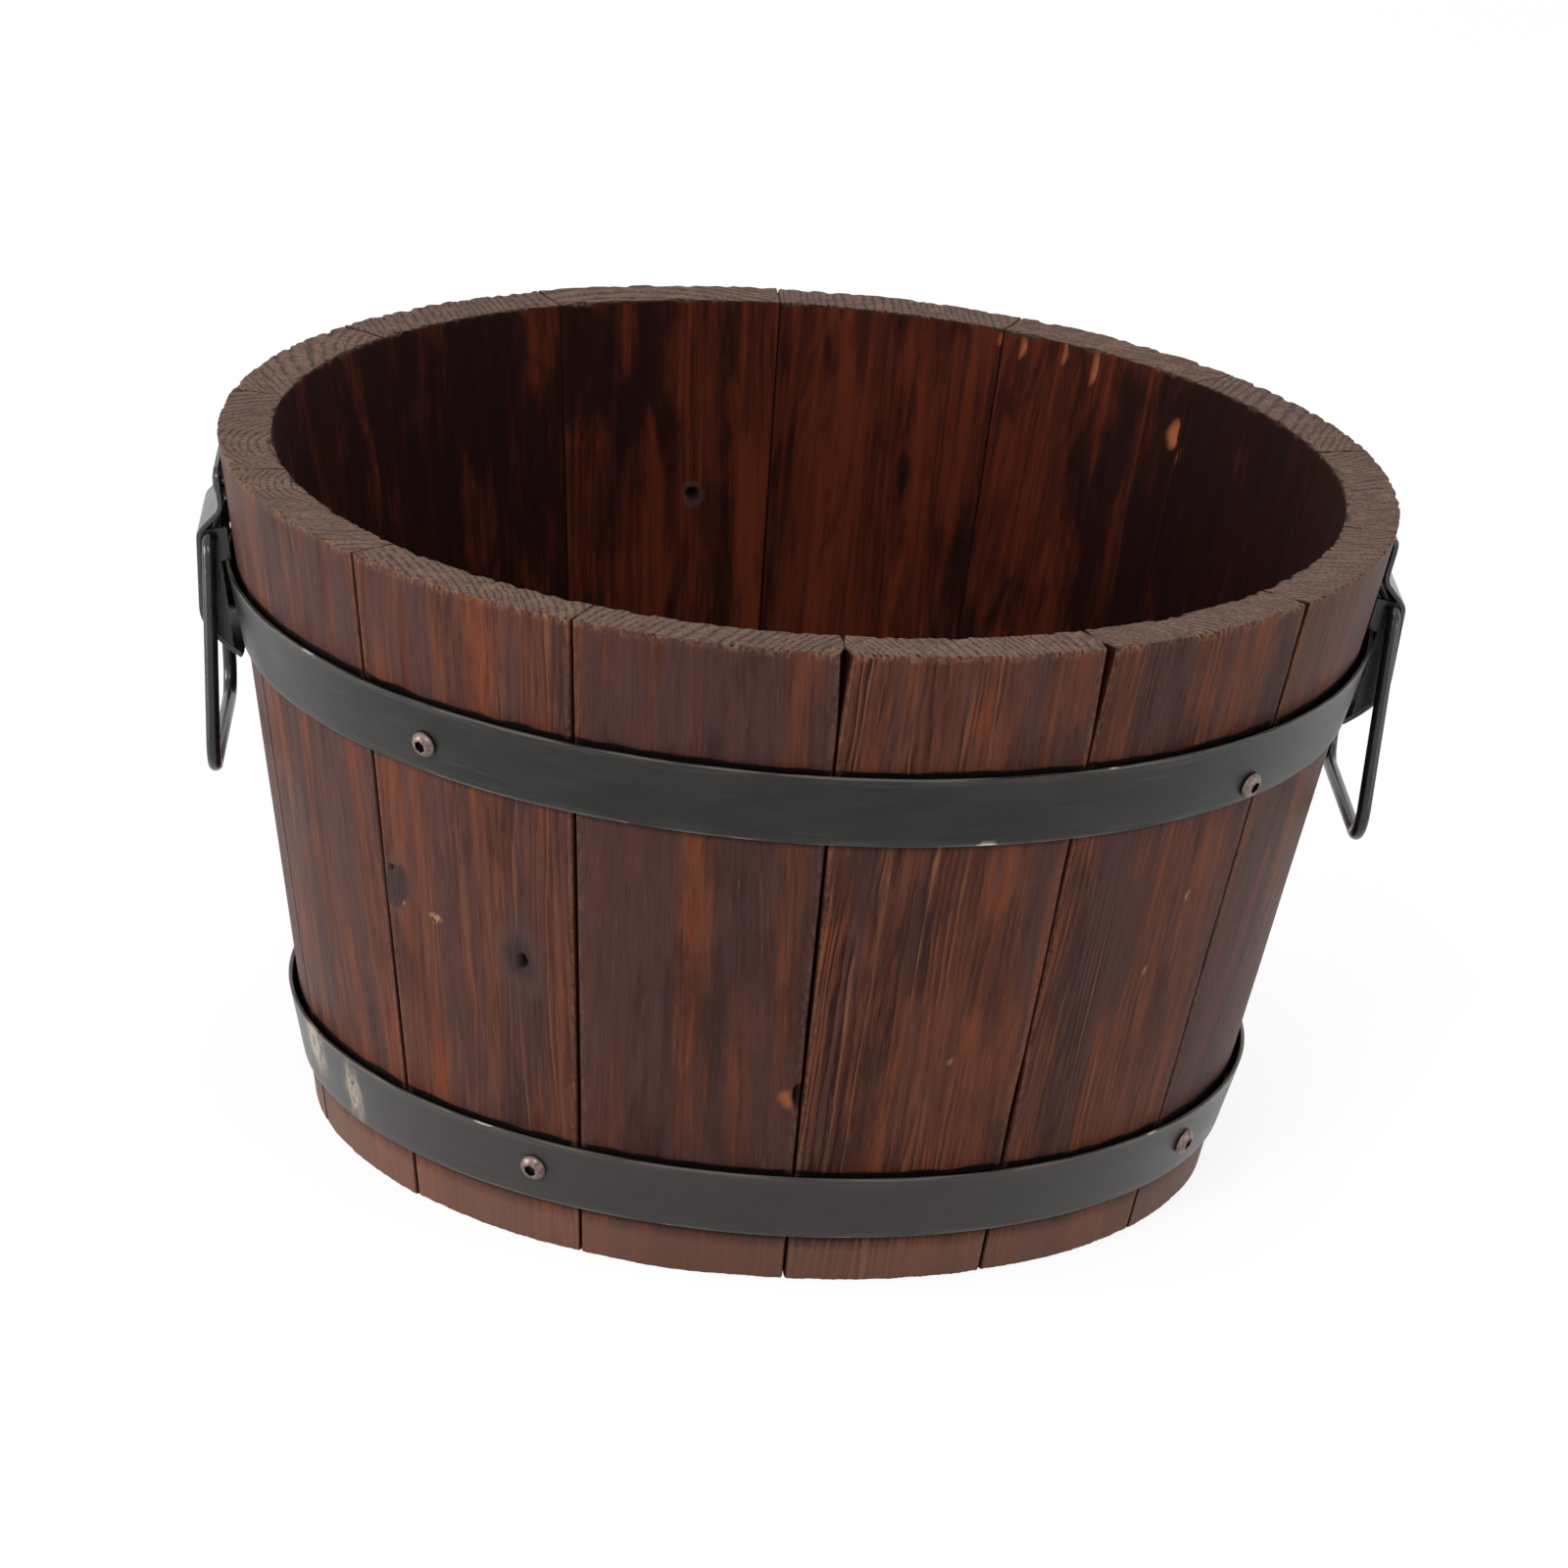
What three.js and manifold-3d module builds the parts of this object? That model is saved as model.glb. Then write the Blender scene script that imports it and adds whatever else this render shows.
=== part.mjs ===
// Wooden barrel planter: tapered staves round a boarded base, held by two riveted steel hoops,
// with a swinging drop handle on each side.
// Millimetres, +Z up. The origin is the centre of the footprint on the ground, and the handles lie along X.
import * as THREE from 'three';
import { mergeVertices } from 'three/addons/utils/BufferGeometryUtils.js';
import Module from 'manifold-3d';

const wasm = await Module();
wasm.setup();

// ---------- Driving dimensions ----------
const CLEARANCE = 0.3; // left between faces that touch on the real tub

// Tub wall
const HEIGHT = 247;
const RIM_RADIUS = 210; // outside, at the rim
const FOOT_RADIUS = 161; // outside, at the ground
const STAVE_THICKNESS = 19.5;
const STAVE_COUNT = 14;
const FIRST_STAVE_AZIMUTH = 1.5; // degrees, the centre line of stave_01
const SEAM_GAP = 0.6;
const EDGE_CHAMFER = 1.6;
const FACETS_PER_STAVE = 6;

// Base
const BASE_RISE = 20; // ground to the underside of the base boards
const BOARD_THICKNESS = 12;
const BOARD_COUNT = 5;
const BOARD_GAP = 0.6;
const CROZE_DEPTH = 5; // the groove in the staves that holds the boards
const DRAIN_RADIUS = 6;
const BATTEN_WIDTH = 34;
const BATTEN_THICKNESS = 13;
const BATTEN_SET_IN = 81; // from the base's edge to a batten's centre line
const BATTEN_END_GAP = 3; // from a batten's corner to the staves

// Hoops
const HOOP_THICKNESS = 1.6;
const HOOP_FLARE = 1.8; // how much further the upper edge stands off the wood than the lower edge
const UPPER_HOOP_WIDTH = 26.9;
const UPPER_HOOP_DROP = 45.9; // rim to the hoop's upper edge
const UPPER_HOOP_SCREWS = [[-131, -1.6], [-39.9, -6.6], [49.5, -1], [139, 1]]; // [degrees, above mid-strip]
const UPPER_HOOP_LAP_STAVE = 4; // staves round from stave_01 to the one behind the lap
const LOWER_HOOP_WIDTH = 24.5;
const LOWER_HOOP_RISE = 18.4; // ground to the hoop's lower edge
const LOWER_HOOP_SCREWS = [[-119.7, 1.3], [-31.1, 1.3], [59, -1], [151, 1]];
const LOWER_HOOP_LAP_STAVE = 3;
const LAP_LENGTH = 46;
const LAP_RAMP = 16; // the stretch in which the outer end rises over the inner one
const RIVET_PITCH = 22;
const RIVET_HEAD_RADIUS = 4.2;
const RIVET_HEAD_HEIGHT = 2;
const RIVET_RADIUS = 2;
const RIVET_TAIL_RADIUS = 3.4;
const RIVET_TAIL_HEIGHT = 0.8;

// Screws
const SCREW_HEAD_RADIUS = 4.8;
const SCREW_HEAD_HEIGHT = 2.7;
const SCREW_RADIUS = 2;
const SCREW_POINT = 4;
const WALL_SCREW_LENGTH = 16;
const BATTEN_SCREW_LENGTH = 21;
const ROUND_SIDES = 12; // round a screw, a rivet or a drilled hole

// Handles
const HANDLE_SET_BACK = 2.2; // degrees by which each handle sits behind the X axis
const PIVOT_DROP = 38; // rim to the pivot
const PIVOT_STAND_OFF = 6.8; // from the wood to the pivot, level
const ROD_RADIUS = 2.5;
const ROD_SIDES = 10;
const BAIL_TOP_WIDTH = 57; // between the legs' centre lines, at the pivot
const BAIL_FOOT_WIDTH = 94; // and at the grip
const BAIL_DROP = 80; // pivot to grip
const BAIL_LEAN = 5.3; // degrees by which the bail leans in towards the wall
const BAIL_TOP_BEND = 5;
const BAIL_FOOT_BEND = 10;
const BAIL_BEND_STEPS = 5;
const PIVOT_PLAY = 0.4; // round the rod in its saddle
const SADDLE_WIDTH = 46;
const SADDLE_SHEET = 2;
const SADDLE_UPPER_TAB = 24.5; // pivot to the upper end, along the wall
const SADDLE_SHOULDER = 9.5; // pivot to where the sheet leaves the wood
const SADDLE_BEND = 3; // from the shoulder to either end of its bend
const SADDLE_BELLY = 26; // pivot to where the sheet turns back to the wood
const SADDLE_TURN = 8; // how far the turn's middle lies below its start
const SADDLE_FOOT = 45; // pivot to the lower end
const SADDLE_CORNER = 4;
const SADDLE_SCREW_SPREAD = 26;
const SADDLE_SCREW_MARGIN = 7.5; // from the tab's end to its screws
const SADDLE_SCREW_HEAD_RADIUS = 4.2;
const SADDLE_SCREW_HEAD_HEIGHT = 1.1;

// ---------- Materials ----------
function finish(color, roughness, metalness) {
  return new THREE.MeshStandardMaterial({ color, roughness, metalness });
}
const stainedWood = finish(0x5a3427, 0.75, 0);
const baseWood = finish(0x4a2a1f, 0.85, 0);
const hoopSteel = finish(0x3b3d3c, 0.5, 0.6);
const handleSteel = finish(0x1f2122, 0.4, 0.6);
const screwSteel = finish(0x6b5a52, 0.45, 0.8);

// ---------- Worked-out places ----------
const degrees = THREE.MathUtils.degToRad;
const turn = 2 * Math.PI;
const pitch = turn / STAVE_COUNT;
const firstSeam = degrees(FIRST_STAVE_AZIMUTH) - pitch / 2;
const facets = STAVE_COUNT * FACETS_PER_STAVE;
const slope = (RIM_RADIUS - FOOT_RADIUS) / HEIGHT;
const taper = Math.atan(slope);
const wallAt = (z) => FOOT_RADIUS + slope * z;
const innerWallAt = (z) => wallAt(z) - STAVE_THICKNESS;
const baseTop = BASE_RISE + BOARD_THICKNESS;
const crozeRadius = innerWallAt(BASE_RISE + BOARD_THICKNESS / 2) + CROZE_DEPTH;
const baseRadius = (crozeRadius - CLEARANCE) * Math.cos(Math.PI / facets);
const hoopProud = CLEARANCE + HOOP_FLARE + HOOP_THICKNESS; // the hoop's upper outer edge, off the wood
const headSeat = CLEARANCE; // under every screw head
const shankHole = SCREW_RADIUS + CLEARANCE;

// ---------- Solids ----------
function toSolid(geometry) {
  const bare = (geometry.index ? geometry.toNonIndexed() : geometry.clone());
  bare.deleteAttribute('normal');
  bare.deleteAttribute('uv');
  const merged = mergeVertices(bare, 1e-4);
  return new wasm.Manifold(new wasm.Mesh({
    numProp: 3,
    vertProperties: new Float32Array(merged.attributes.position.array),
    triVerts: new Uint32Array(merged.index.array),
  }));
}

function toGeometry(solid) {
  const mesh = solid.getMesh();
  const geometry = new THREE.BufferGeometry();
  geometry.setAttribute('position', new THREE.BufferAttribute(mesh.vertProperties, 3));
  geometry.setIndex(new THREE.BufferAttribute(mesh.triVerts, 1));
  geometry.computeVertexNormals();
  return geometry;
}

const joinAll = (solids) => solids.reduce((all, next) => all.add(next));

// A profile of [radius, height] pairs turned about Z, with a vertex at the given azimuth.
function turned(profile, sides, azimuth = 0) {
  const geometry = new THREE.LatheGeometry(profile.map(([r, z]) => new THREE.Vector2(r, z)), sides);
  return geometry.rotateX(Math.PI / 2).rotateZ(azimuth + Math.PI / 2);
}

// Rings of points joined into one skin: closed on itself, or capped at both ends.
function skin(rings, closed) {
  const sides = rings[0].length;
  const faces = [];
  const spans = closed ? rings.length : rings.length - 1;
  for (let i = 0; i < spans; i++) {
    const a = i * sides;
    const b = ((i + 1) % rings.length) * sides;
    for (let j = 0; j < sides; j++) {
      const k = (j + 1) % sides;
      faces.push(a + j, b + k, a + k, a + j, b + j, b + k);
    }
  }
  if (!closed) {
    const last = (rings.length - 1) * sides;
    for (let j = 1; j < sides - 1; j++) {
      faces.push(0, j, j + 1, last, last + j + 1, last + j);
    }
  }
  const geometry = new THREE.BufferGeometry().setFromPoints(rings.flat());
  geometry.setIndex(faces);
  geometry.computeVertexNormals();
  return geometry;
}

// A flat outline in (across, up), pushed through a thickness, in the wall's frame: X outward, Z up.
function plate(shape, depth, curveSegments = 8) {
  const geometry = new THREE.ExtrudeGeometry(shape, { depth, bevelEnabled: false, curveSegments });
  return geometry.rotateX(Math.PI / 2).rotateZ(Math.PI / 2);
}

// The frame of a point on the wall: X along the outward normal, Y round the tub, Z up the slope.
function wallFrame(azimuth, z, standOff = 0) {
  const r = wallAt(z);
  const frame = new THREE.Matrix4().makeTranslation(r * Math.cos(azimuth), r * Math.sin(azimuth), z);
  frame.multiply(new THREE.Matrix4().makeRotationZ(azimuth));
  frame.multiply(new THREE.Matrix4().makeRotationY(taper));
  return frame.multiply(new THREE.Matrix4().makeTranslation(standOff, 0, 0));
}

function piece(name, geometry, material, frame) {
  const mesh = new THREE.Mesh(geometry, material);
  mesh.name = name;
  if (frame) frame.decompose(mesh.position, mesh.quaternion, mesh.scale);
  return mesh;
}

// ---------- Screws and rivets, with the head on the +X side of the origin ----------
function screwGeometry(length, headRadius = SCREW_HEAD_RADIUS, headHeight = SCREW_HEAD_HEIGHT) {
  const profile = [
    [0, -length], [SCREW_RADIUS, SCREW_POINT - length],
    [SCREW_RADIUS, headSeat], [headRadius, headSeat],
    [headRadius * 0.93, headSeat + headHeight * 0.55],
    [headRadius * 0.62, headSeat + headHeight * 0.92], [0, headSeat + headHeight],
  ];
  return turned(profile, ROUND_SIDES).rotateY(Math.PI / 2);
}

function holeCutter(radius, depth, reach) {
  const hole = new THREE.CylinderGeometry(radius, radius, depth + reach, ROUND_SIDES);
  return hole.rotateZ(Math.PI / 2).translate((reach - depth) / 2, 0, 0);
}

function screwCutter(length, frame) {
  const reach = headSeat / 2 + HOOP_THICKNESS + SADDLE_SHEET;
  return toSolid(holeCutter(shankHole, length + CLEARANCE, reach).applyMatrix4(frame));
}

const wallScrew = screwGeometry(WALL_SCREW_LENGTH);
const saddleScrew = screwGeometry(WALL_SCREW_LENGTH, SADDLE_SCREW_HEAD_RADIUS, SADDLE_SCREW_HEAD_HEIGHT);
const battenScrew = screwGeometry(BATTEN_SCREW_LENGTH);

const lapThickness = 2 * HOOP_THICKNESS + CLEARANCE;
const rivetStem = lapThickness + 2 * CLEARANCE;

// The rivet's origin is on the outer strip's outer face. Its flat tail lies in a shallow seat in the wood.
function rivetGeometry() {
  const profile = [
    [0, -rivetStem - RIVET_TAIL_HEIGHT], [RIVET_TAIL_RADIUS, -rivetStem - RIVET_TAIL_HEIGHT],
    [RIVET_TAIL_RADIUS, -rivetStem], [RIVET_RADIUS, -rivetStem], [RIVET_RADIUS, CLEARANCE],
    [RIVET_HEAD_RADIUS, CLEARANCE], [RIVET_HEAD_RADIUS * 0.75, CLEARANCE + RIVET_HEAD_HEIGHT * 0.7],
    [0, CLEARANCE + RIVET_HEAD_HEIGHT],
  ];
  return turned(profile, ROUND_SIDES).rotateY(Math.PI / 2);
}

// ---------- Hoops ----------
// One strip per hoop, bent to a cone and lapped at the back. The outer end climbs over the inner end.
function hoopStrip(hoop) {
  const mid = (hoop.bottom + hoop.top) / 2;
  const lapAngle = LAP_LENGTH / wallAt(mid);
  const rampAngle = LAP_RAMP / wallAt(mid);
  const lift = HOOP_THICKNESS + CLEARANCE;
  const start = hoop.lapAzimuth - lapAngle / 2;
  const end = start + turn + lapAngle;
  const rampEnd = start + turn - rampAngle / 4;
  const step = turn / facets;
  const angles = [start];
  for (let i = Math.ceil((start - firstSeam) / step + 0.01); firstSeam + i * step < end - step / 100; i++) {
    angles.push(firstSeam + i * step);
  }
  angles.push(end);
  const rings = angles.map((angle) => {
    const climb = THREE.MathUtils.clamp((angle - rampEnd + rampAngle) / rampAngle, 0, 1) * lift;
    const radiusAt = (z, flare, depth) => wallAt(z) + CLEARANCE + flare + depth + climb;
    const corners = [
      [radiusAt(hoop.bottom, 0, 0), hoop.bottom],
      [radiusAt(hoop.bottom, 0, HOOP_THICKNESS), hoop.bottom],
      [radiusAt(hoop.top, HOOP_FLARE, HOOP_THICKNESS), hoop.top],
      [radiusAt(hoop.top, HOOP_FLARE, 0), hoop.top],
    ];
    return corners.map(([r, z]) => new THREE.Vector3(r * Math.cos(angle), r * Math.sin(angle), z));
  });
  return toSolid(skin(rings, false));
}

function makeHoop(name, bottom, width, screws, lapStave) {
  const lapAzimuth = degrees(FIRST_STAVE_AZIMUTH) + lapStave * pitch;
  const hoop = { name, bottom, top: bottom + width, lapAzimuth };
  const mid = (hoop.bottom + hoop.top) / 2;
  const tilt = new THREE.Matrix4().makeRotationY(Math.atan(HOOP_FLARE / width));
  const faceAt = (up) => CLEARANCE + HOOP_FLARE * (0.5 + up / width) + HOOP_THICKNESS;
  const faceFrame = (azimuth, up, lift) => wallFrame(azimuth, mid + up, faceAt(up) + lift).multiply(tilt);
  hoop.screwFrames = screws.map(([azimuth, up]) => faceFrame(degrees(azimuth), up, 0));
  const rivetSpread = RIVET_PITCH / 2 / wallAt(mid);
  hoop.rivetFrames = [-1, 1].map((side) =>
    faceFrame(hoop.lapAzimuth + side * rivetSpread, 0, HOOP_THICKNESS + CLEARANCE));
  return hoop;
}

const hoops = [
  makeHoop('upper_hoop', HEIGHT - UPPER_HOOP_DROP - UPPER_HOOP_WIDTH, UPPER_HOOP_WIDTH,
    UPPER_HOOP_SCREWS, UPPER_HOOP_LAP_STAVE),
  makeHoop('lower_hoop', LOWER_HOOP_RISE, LOWER_HOOP_WIDTH, LOWER_HOOP_SCREWS, LOWER_HOOP_LAP_STAVE),
];

// ---------- Handles ----------
const pivotHeight = HEIGHT - PIVOT_DROP;
const pivotRadius = wallAt(pivotHeight) + PIVOT_STAND_OFF;
const rodSeat = PIVOT_STAND_OFF * Math.cos(taper); // the pivot's distance from the wood, square to it
const pivotShift = PIVOT_STAND_OFF * Math.sin(taper); // and its height above the frame's origin, up the slope
const pivotBore = ROD_RADIUS + PIVOT_PLAY;
const knuckle = pivotBore + SADDLE_SHEET / 2; // from the pivot to the middle of the sheet
const tabSeat = CLEARANCE + SADDLE_SHEET / 2; // from the wood to the middle of the sheet
const hoopFace = hoopProud * Math.cos(taper) + CLEARANCE; // clear of the hoop, off the wood
const hoopRise = hoopProud * Math.sin(taper) + CLEARANCE; // clear of its upper outer edge, up the slope
const hoopEdge = (pivotHeight - hoops[0].top) / Math.cos(taper) + pivotShift - hoopRise; // below the pivot

// The middle of the bent sheet from its top to its foot, in the wall's frame: X off the wood, Y up the slope.
// It leaves the wood at the shoulder, passes round the rod, hangs down in line with the bail and turns back.
function saddleLine() {
  const lean = taper - degrees(BAIL_LEAN);
  const shoulder = new THREE.Vector2(tabSeat, SADDLE_SHOULDER);
  const pivot = new THREE.Vector2(rodSeat, 0);
  const toShoulder = shoulder.clone().sub(pivot);
  const touch = toShoulder.angle() - Math.acos(knuckle / toShoulder.length());
  const touchPoint = new THREE.Vector2(Math.cos(touch), Math.sin(touch)).multiplyScalar(knuckle).add(pivot);
  const bendEnd = touchPoint.clone().sub(shoulder).normalize().multiplyScalar(SADDLE_BEND).add(shoulder);
  const down = new THREE.Vector2(Math.sin(lean), -Math.cos(lean));
  const belly = new THREE.Vector2(Math.cos(lean), Math.sin(lean)).multiplyScalar(knuckle).add(pivot)
    .add(down.clone().multiplyScalar(SADDLE_BELLY));
  const turnPoint = down.clone().multiplyScalar(SADDLE_TURN).add(belly);
  const line = new THREE.Path();
  line.moveTo(tabSeat, SADDLE_UPPER_TAB);
  line.lineTo(tabSeat, SADDLE_SHOULDER + SADDLE_BEND);
  line.quadraticCurveTo(shoulder.x, shoulder.y, bendEnd.x, bendEnd.y);
  line.absarc(rodSeat, 0, knuckle, touch, lean, true);
  line.lineTo(belly.x, belly.y);
  line.quadraticCurveTo(turnPoint.x, turnPoint.y, tabSeat, -SADDLE_FOOT);
  const points = line.getPoints(6);
  return points.filter((point, i) => i === 0 || point.distanceTo(points[i - 1]) > 0.01);
}

// The sheet's section: its middle line, moved half its thickness to either side.
function sheetSection(line) {
  const aside = line.map((point, i) => {
    const heading = line[Math.min(i + 1, line.length - 1)].clone().sub(line[Math.max(i - 1, 0)]).normalize();
    return new THREE.Vector2(-heading.y, heading.x).multiplyScalar(SADDLE_SHEET / 2);
  });
  const outer = line.map((point, i) => point.clone().add(aside[i]));
  const inner = line.map((point, i) => point.clone().sub(aside[i]));
  return new THREE.Shape([...outer, ...inner.reverse()]);
}

// The side cheek that closes an end of the bulge, between the wood or the hoop and the sheet.
function cheekSection(line) {
  const bulge = line.filter((point) => point.x > hoopFace);
  const top = bulge[0].y;
  const low = bulge[bulge.length - 1].y;
  return new THREE.Shape([
    new THREE.Vector2(CLEARANCE, top), ...bulge, new THREE.Vector2(hoopFace, low),
    new THREE.Vector2(hoopFace, -hoopEdge), new THREE.Vector2(CLEARANCE, -hoopEdge),
  ]);
}

// A section in (off the wood, up), pushed sideways from a place across the handle.
function pushedAcross(section, width, middle) {
  const geometry = new THREE.ExtrudeGeometry(section, { depth: width, bevelEnabled: false });
  return toSolid(geometry.rotateX(Math.PI / 2).translate(0, middle + width / 2, 0));
}

// What the rounded upper corners leave of the sheet, seen square to the wall.
function saddleOutline() {
  const half = SADDLE_WIDTH / 2;
  const corner = half - SADDLE_CORNER;
  const cornerZ = SADDLE_UPPER_TAB - SADDLE_CORNER;
  const below = -SADDLE_FOOT - SADDLE_SHEET;
  const outline = new THREE.Shape();
  outline.moveTo(corner, SADDLE_UPPER_TAB);
  outline.absarc(-corner, cornerZ, SADDLE_CORNER, Math.PI / 2, Math.PI, false);
  outline.lineTo(-half, below);
  outline.lineTo(half, below);
  outline.absarc(corner, cornerZ, SADDLE_CORNER, 0, Math.PI / 2, false);
  return outline;
}

const saddleScrews = [-1, 1].map((side) => ({
  across: side * SADDLE_SCREW_SPREAD / 2,
  up: SADDLE_UPPER_TAB - SADDLE_SCREW_MARGIN,
  face: CLEARANCE + SADDLE_SHEET,
}));

// Frames inside a handle's own group, whose X axis points out of the tub through the handle.
const saddleFrame = wallFrame(0, pivotHeight)
  .multiply(new THREE.Matrix4().makeTranslation(0, 0, pivotShift));
const saddleScrewFrames = saddleScrews.map(({ across, up, face }) =>
  saddleFrame.clone().multiply(new THREE.Matrix4().makeTranslation(face, across, up)));

function saddleGeometry() {
  const line = saddleLine();
  const cheekMiddle = (SADDLE_WIDTH - SADDLE_SHEET) / 2;
  const cheeks = [-1, 1].map((side) => pushedAcross(cheekSection(line), SADDLE_SHEET, side * cheekMiddle));
  const reach = 2 * (rodSeat + knuckle + SADDLE_FOOT);
  const blank = toSolid(plate(saddleOutline(), reach, 10).translate(-reach / 2, 0, 0));
  const bore = new THREE.CylinderGeometry(pivotBore, pivotBore, 2 * SADDLE_WIDTH, 2 * ROUND_SIDES);
  const toSaddle = saddleFrame.clone().invert();
  const holes = saddleScrewFrames.map((frame) =>
    screwCutter(WALL_SCREW_LENGTH, toSaddle.clone().multiply(frame)));
  const sheet = pushedAcross(sheetSection(line), SADDLE_WIDTH, 0).intersect(blank);
  const pocket = joinAll([sheet, ...cheeks]);
  return toGeometry(pocket.subtract(toSolid(bore.translate(rodSeat, 0, 0))).subtract(joinAll(holes)));
}

// The bail's centre line: a closed, rounded trapezium hanging from the pivot line, which is the Y axis.
function bailRings() {
  const top = BAIL_TOP_WIDTH / 2;
  const foot = BAIL_FOOT_WIDTH / 2;
  const corners = [[top, 0], [-top, 0], [-foot, -BAIL_DROP], [foot, -BAIL_DROP]];
  const bends = [BAIL_TOP_BEND, BAIL_TOP_BEND, BAIL_FOOT_BEND, BAIL_FOOT_BEND];
  const rings = [];
  corners.forEach(([y, z], i) => {
    const here = new THREE.Vector2(y, z);
    const inward = new THREE.Vector2(...corners[(i + 3) % 4]).sub(here).normalize();
    const onward = new THREE.Vector2(...corners[(i + 1) % 4]).sub(here).normalize();
    const halfAngle = Math.acos(inward.dot(onward)) / 2;
    const toCentre = inward.clone().add(onward).normalize().multiplyScalar(bends[i] / Math.sin(halfAngle));
    const centre = here.clone().add(toCentre);
    const last = Math.atan2(-onward.x, onward.y);
    const sweep = Math.PI - 2 * halfAngle;
    for (let step = 0; step <= BAIL_BEND_STEPS; step++) {
      const angle = last - sweep + (sweep * step) / BAIL_BEND_STEPS;
      const out = new THREE.Vector2(Math.cos(angle), Math.sin(angle));
      rings.push({ centre: out.clone().multiplyScalar(bends[i]).add(centre), out });
    }
  });
  return rings;
}

function bailGeometry() {
  const rings = bailRings().map(({ centre, out }) => {
    const ring = [];
    for (let side = 0; side < ROD_SIDES; side++) {
      const angle = (side * turn) / ROD_SIDES;
      const along = ROD_RADIUS * Math.cos(angle);
      const aside = ROD_RADIUS * Math.sin(angle);
      ring.push(new THREE.Vector3(aside, centre.x + along * out.x, centre.y + along * out.y));
    }
    return ring;
  });
  return skin(rings, true);
}

const handles = [
  { side: 'right', azimuth: degrees(HANDLE_SET_BACK) },
  { side: 'left', azimuth: Math.PI - degrees(HANDLE_SET_BACK) },
];

function makeHandle({ side, azimuth }) {
  const group = new THREE.Group();
  group.rotation.z = azimuth;
  group.add(piece(`${side}_handle_saddle`, saddle, handleSteel, saddleFrame));
  const bail = piece(`${side}_handle_bail`, bailShape, handleSteel);
  bail.position.set(pivotRadius, 0, pivotHeight);
  bail.rotation.y = degrees(BAIL_LEAN);
  group.add(bail);
  saddleScrewFrames.forEach((frame, i) =>
    group.add(piece(`${side}_handle_screw_${i + 1}`, saddleScrew, handleSteel, frame)));
  return group;
}

const saddle = saddleGeometry();
const bailShape = bailGeometry();

// ---------- Holes drilled in the wall, and in the hoops that lie on it ----------
const handleHoles = handles.flatMap(({ azimuth }) => saddleScrewFrames.map((frame) =>
  screwCutter(WALL_SCREW_LENGTH, new THREE.Matrix4().makeRotationZ(azimuth).multiply(frame))));
const hoopHoles = hoops.flatMap((hoop) =>
  hoop.screwFrames.map((frame) => screwCutter(WALL_SCREW_LENGTH, frame)));
const rivetHoles = hoops.flatMap((hoop) => hoop.rivetFrames.map((frame) =>
  toSolid(holeCutter(RIVET_RADIUS + CLEARANCE, rivetStem, HOOP_THICKNESS).applyMatrix4(frame))));
const tailDepth = rivetStem + RIVET_TAIL_HEIGHT + CLEARANCE;
const rivetSeats = hoops.flatMap((hoop) => hoop.rivetFrames.map((frame) => toSolid(
  holeCutter(RIVET_TAIL_RADIUS + CLEARANCE, tailDepth, CLEARANCE / 2 - lapThickness).applyMatrix4(frame))));
const stripHoles = joinAll([...handleHoles, ...hoopHoles, ...rivetHoles]);

// ---------- Tub wall ----------
function wallRing() {
  const c = EDGE_CHAMFER;
  const profile = [
    [wallAt(0) - c, 0], [wallAt(c), c], [wallAt(HEIGHT - c), HEIGHT - c], [wallAt(HEIGHT) - c, HEIGHT],
    [innerWallAt(HEIGHT) + c, HEIGHT], [innerWallAt(HEIGHT - c), HEIGHT - c],
    [innerWallAt(baseTop + CLEARANCE), baseTop + CLEARANCE], [crozeRadius, baseTop + CLEARANCE],
    [crozeRadius, BASE_RISE - CLEARANCE], [innerWallAt(BASE_RISE - CLEARANCE), BASE_RISE - CLEARANCE],
    [innerWallAt(c), c], [innerWallAt(0) + c, 0], [wallAt(0) - c, 0],
  ];
  const drilled = joinAll([...handleHoles, ...hoopHoles, ...rivetSeats]);
  return toSolid(turned(profile, facets, firstSeam)).subtract(drilled);
}

// The slice of the ring that is one stave, with half a seam's gap off each side.
function staveSlice(azimuth) {
  const apex = SEAM_GAP / 2 / Math.sin(pitch / 2);
  const reach = 1.5 * RIM_RADIUS;
  const slice = new THREE.Shape();
  slice.moveTo(apex, 0);
  slice.lineTo(apex + reach * Math.cos(pitch / 2), -reach * Math.sin(pitch / 2));
  slice.lineTo(apex + reach * Math.cos(pitch / 2), reach * Math.sin(pitch / 2));
  slice.closePath();
  const wedge = new THREE.ExtrudeGeometry(slice, { depth: 2 * HEIGHT, bevelEnabled: false });
  return toSolid(wedge.translate(0, 0, -HEIGHT / 2).rotateZ(azimuth));
}

function makeStaves() {
  const group = new THREE.Group();
  const ring = wallRing();
  for (let i = 0; i < STAVE_COUNT; i++) {
    const slice = staveSlice(degrees(FIRST_STAVE_AZIMUTH) + i * pitch);
    const name = `stave_${String(i + 1).padStart(2, '0')}`;
    group.add(piece(name, toGeometry(ring.intersect(slice)), stainedWood));
  }
  return group;
}

function makeHoops() {
  const group = new THREE.Group();
  for (const hoop of hoops) {
    group.add(piece(hoop.name, toGeometry(hoopStrip(hoop).subtract(stripHoles)), hoopSteel));
    hoop.screwFrames.forEach((frame, i) =>
      group.add(piece(`${hoop.name}_screw_${i + 1}`, wallScrew, screwSteel, frame)));
    hoop.rivetFrames.forEach((frame, i) =>
      group.add(piece(`${hoop.name}_rivet_${i + 1}`, rivetGeometry(), hoopSteel, frame)));
  }
  return group;
}

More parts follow.
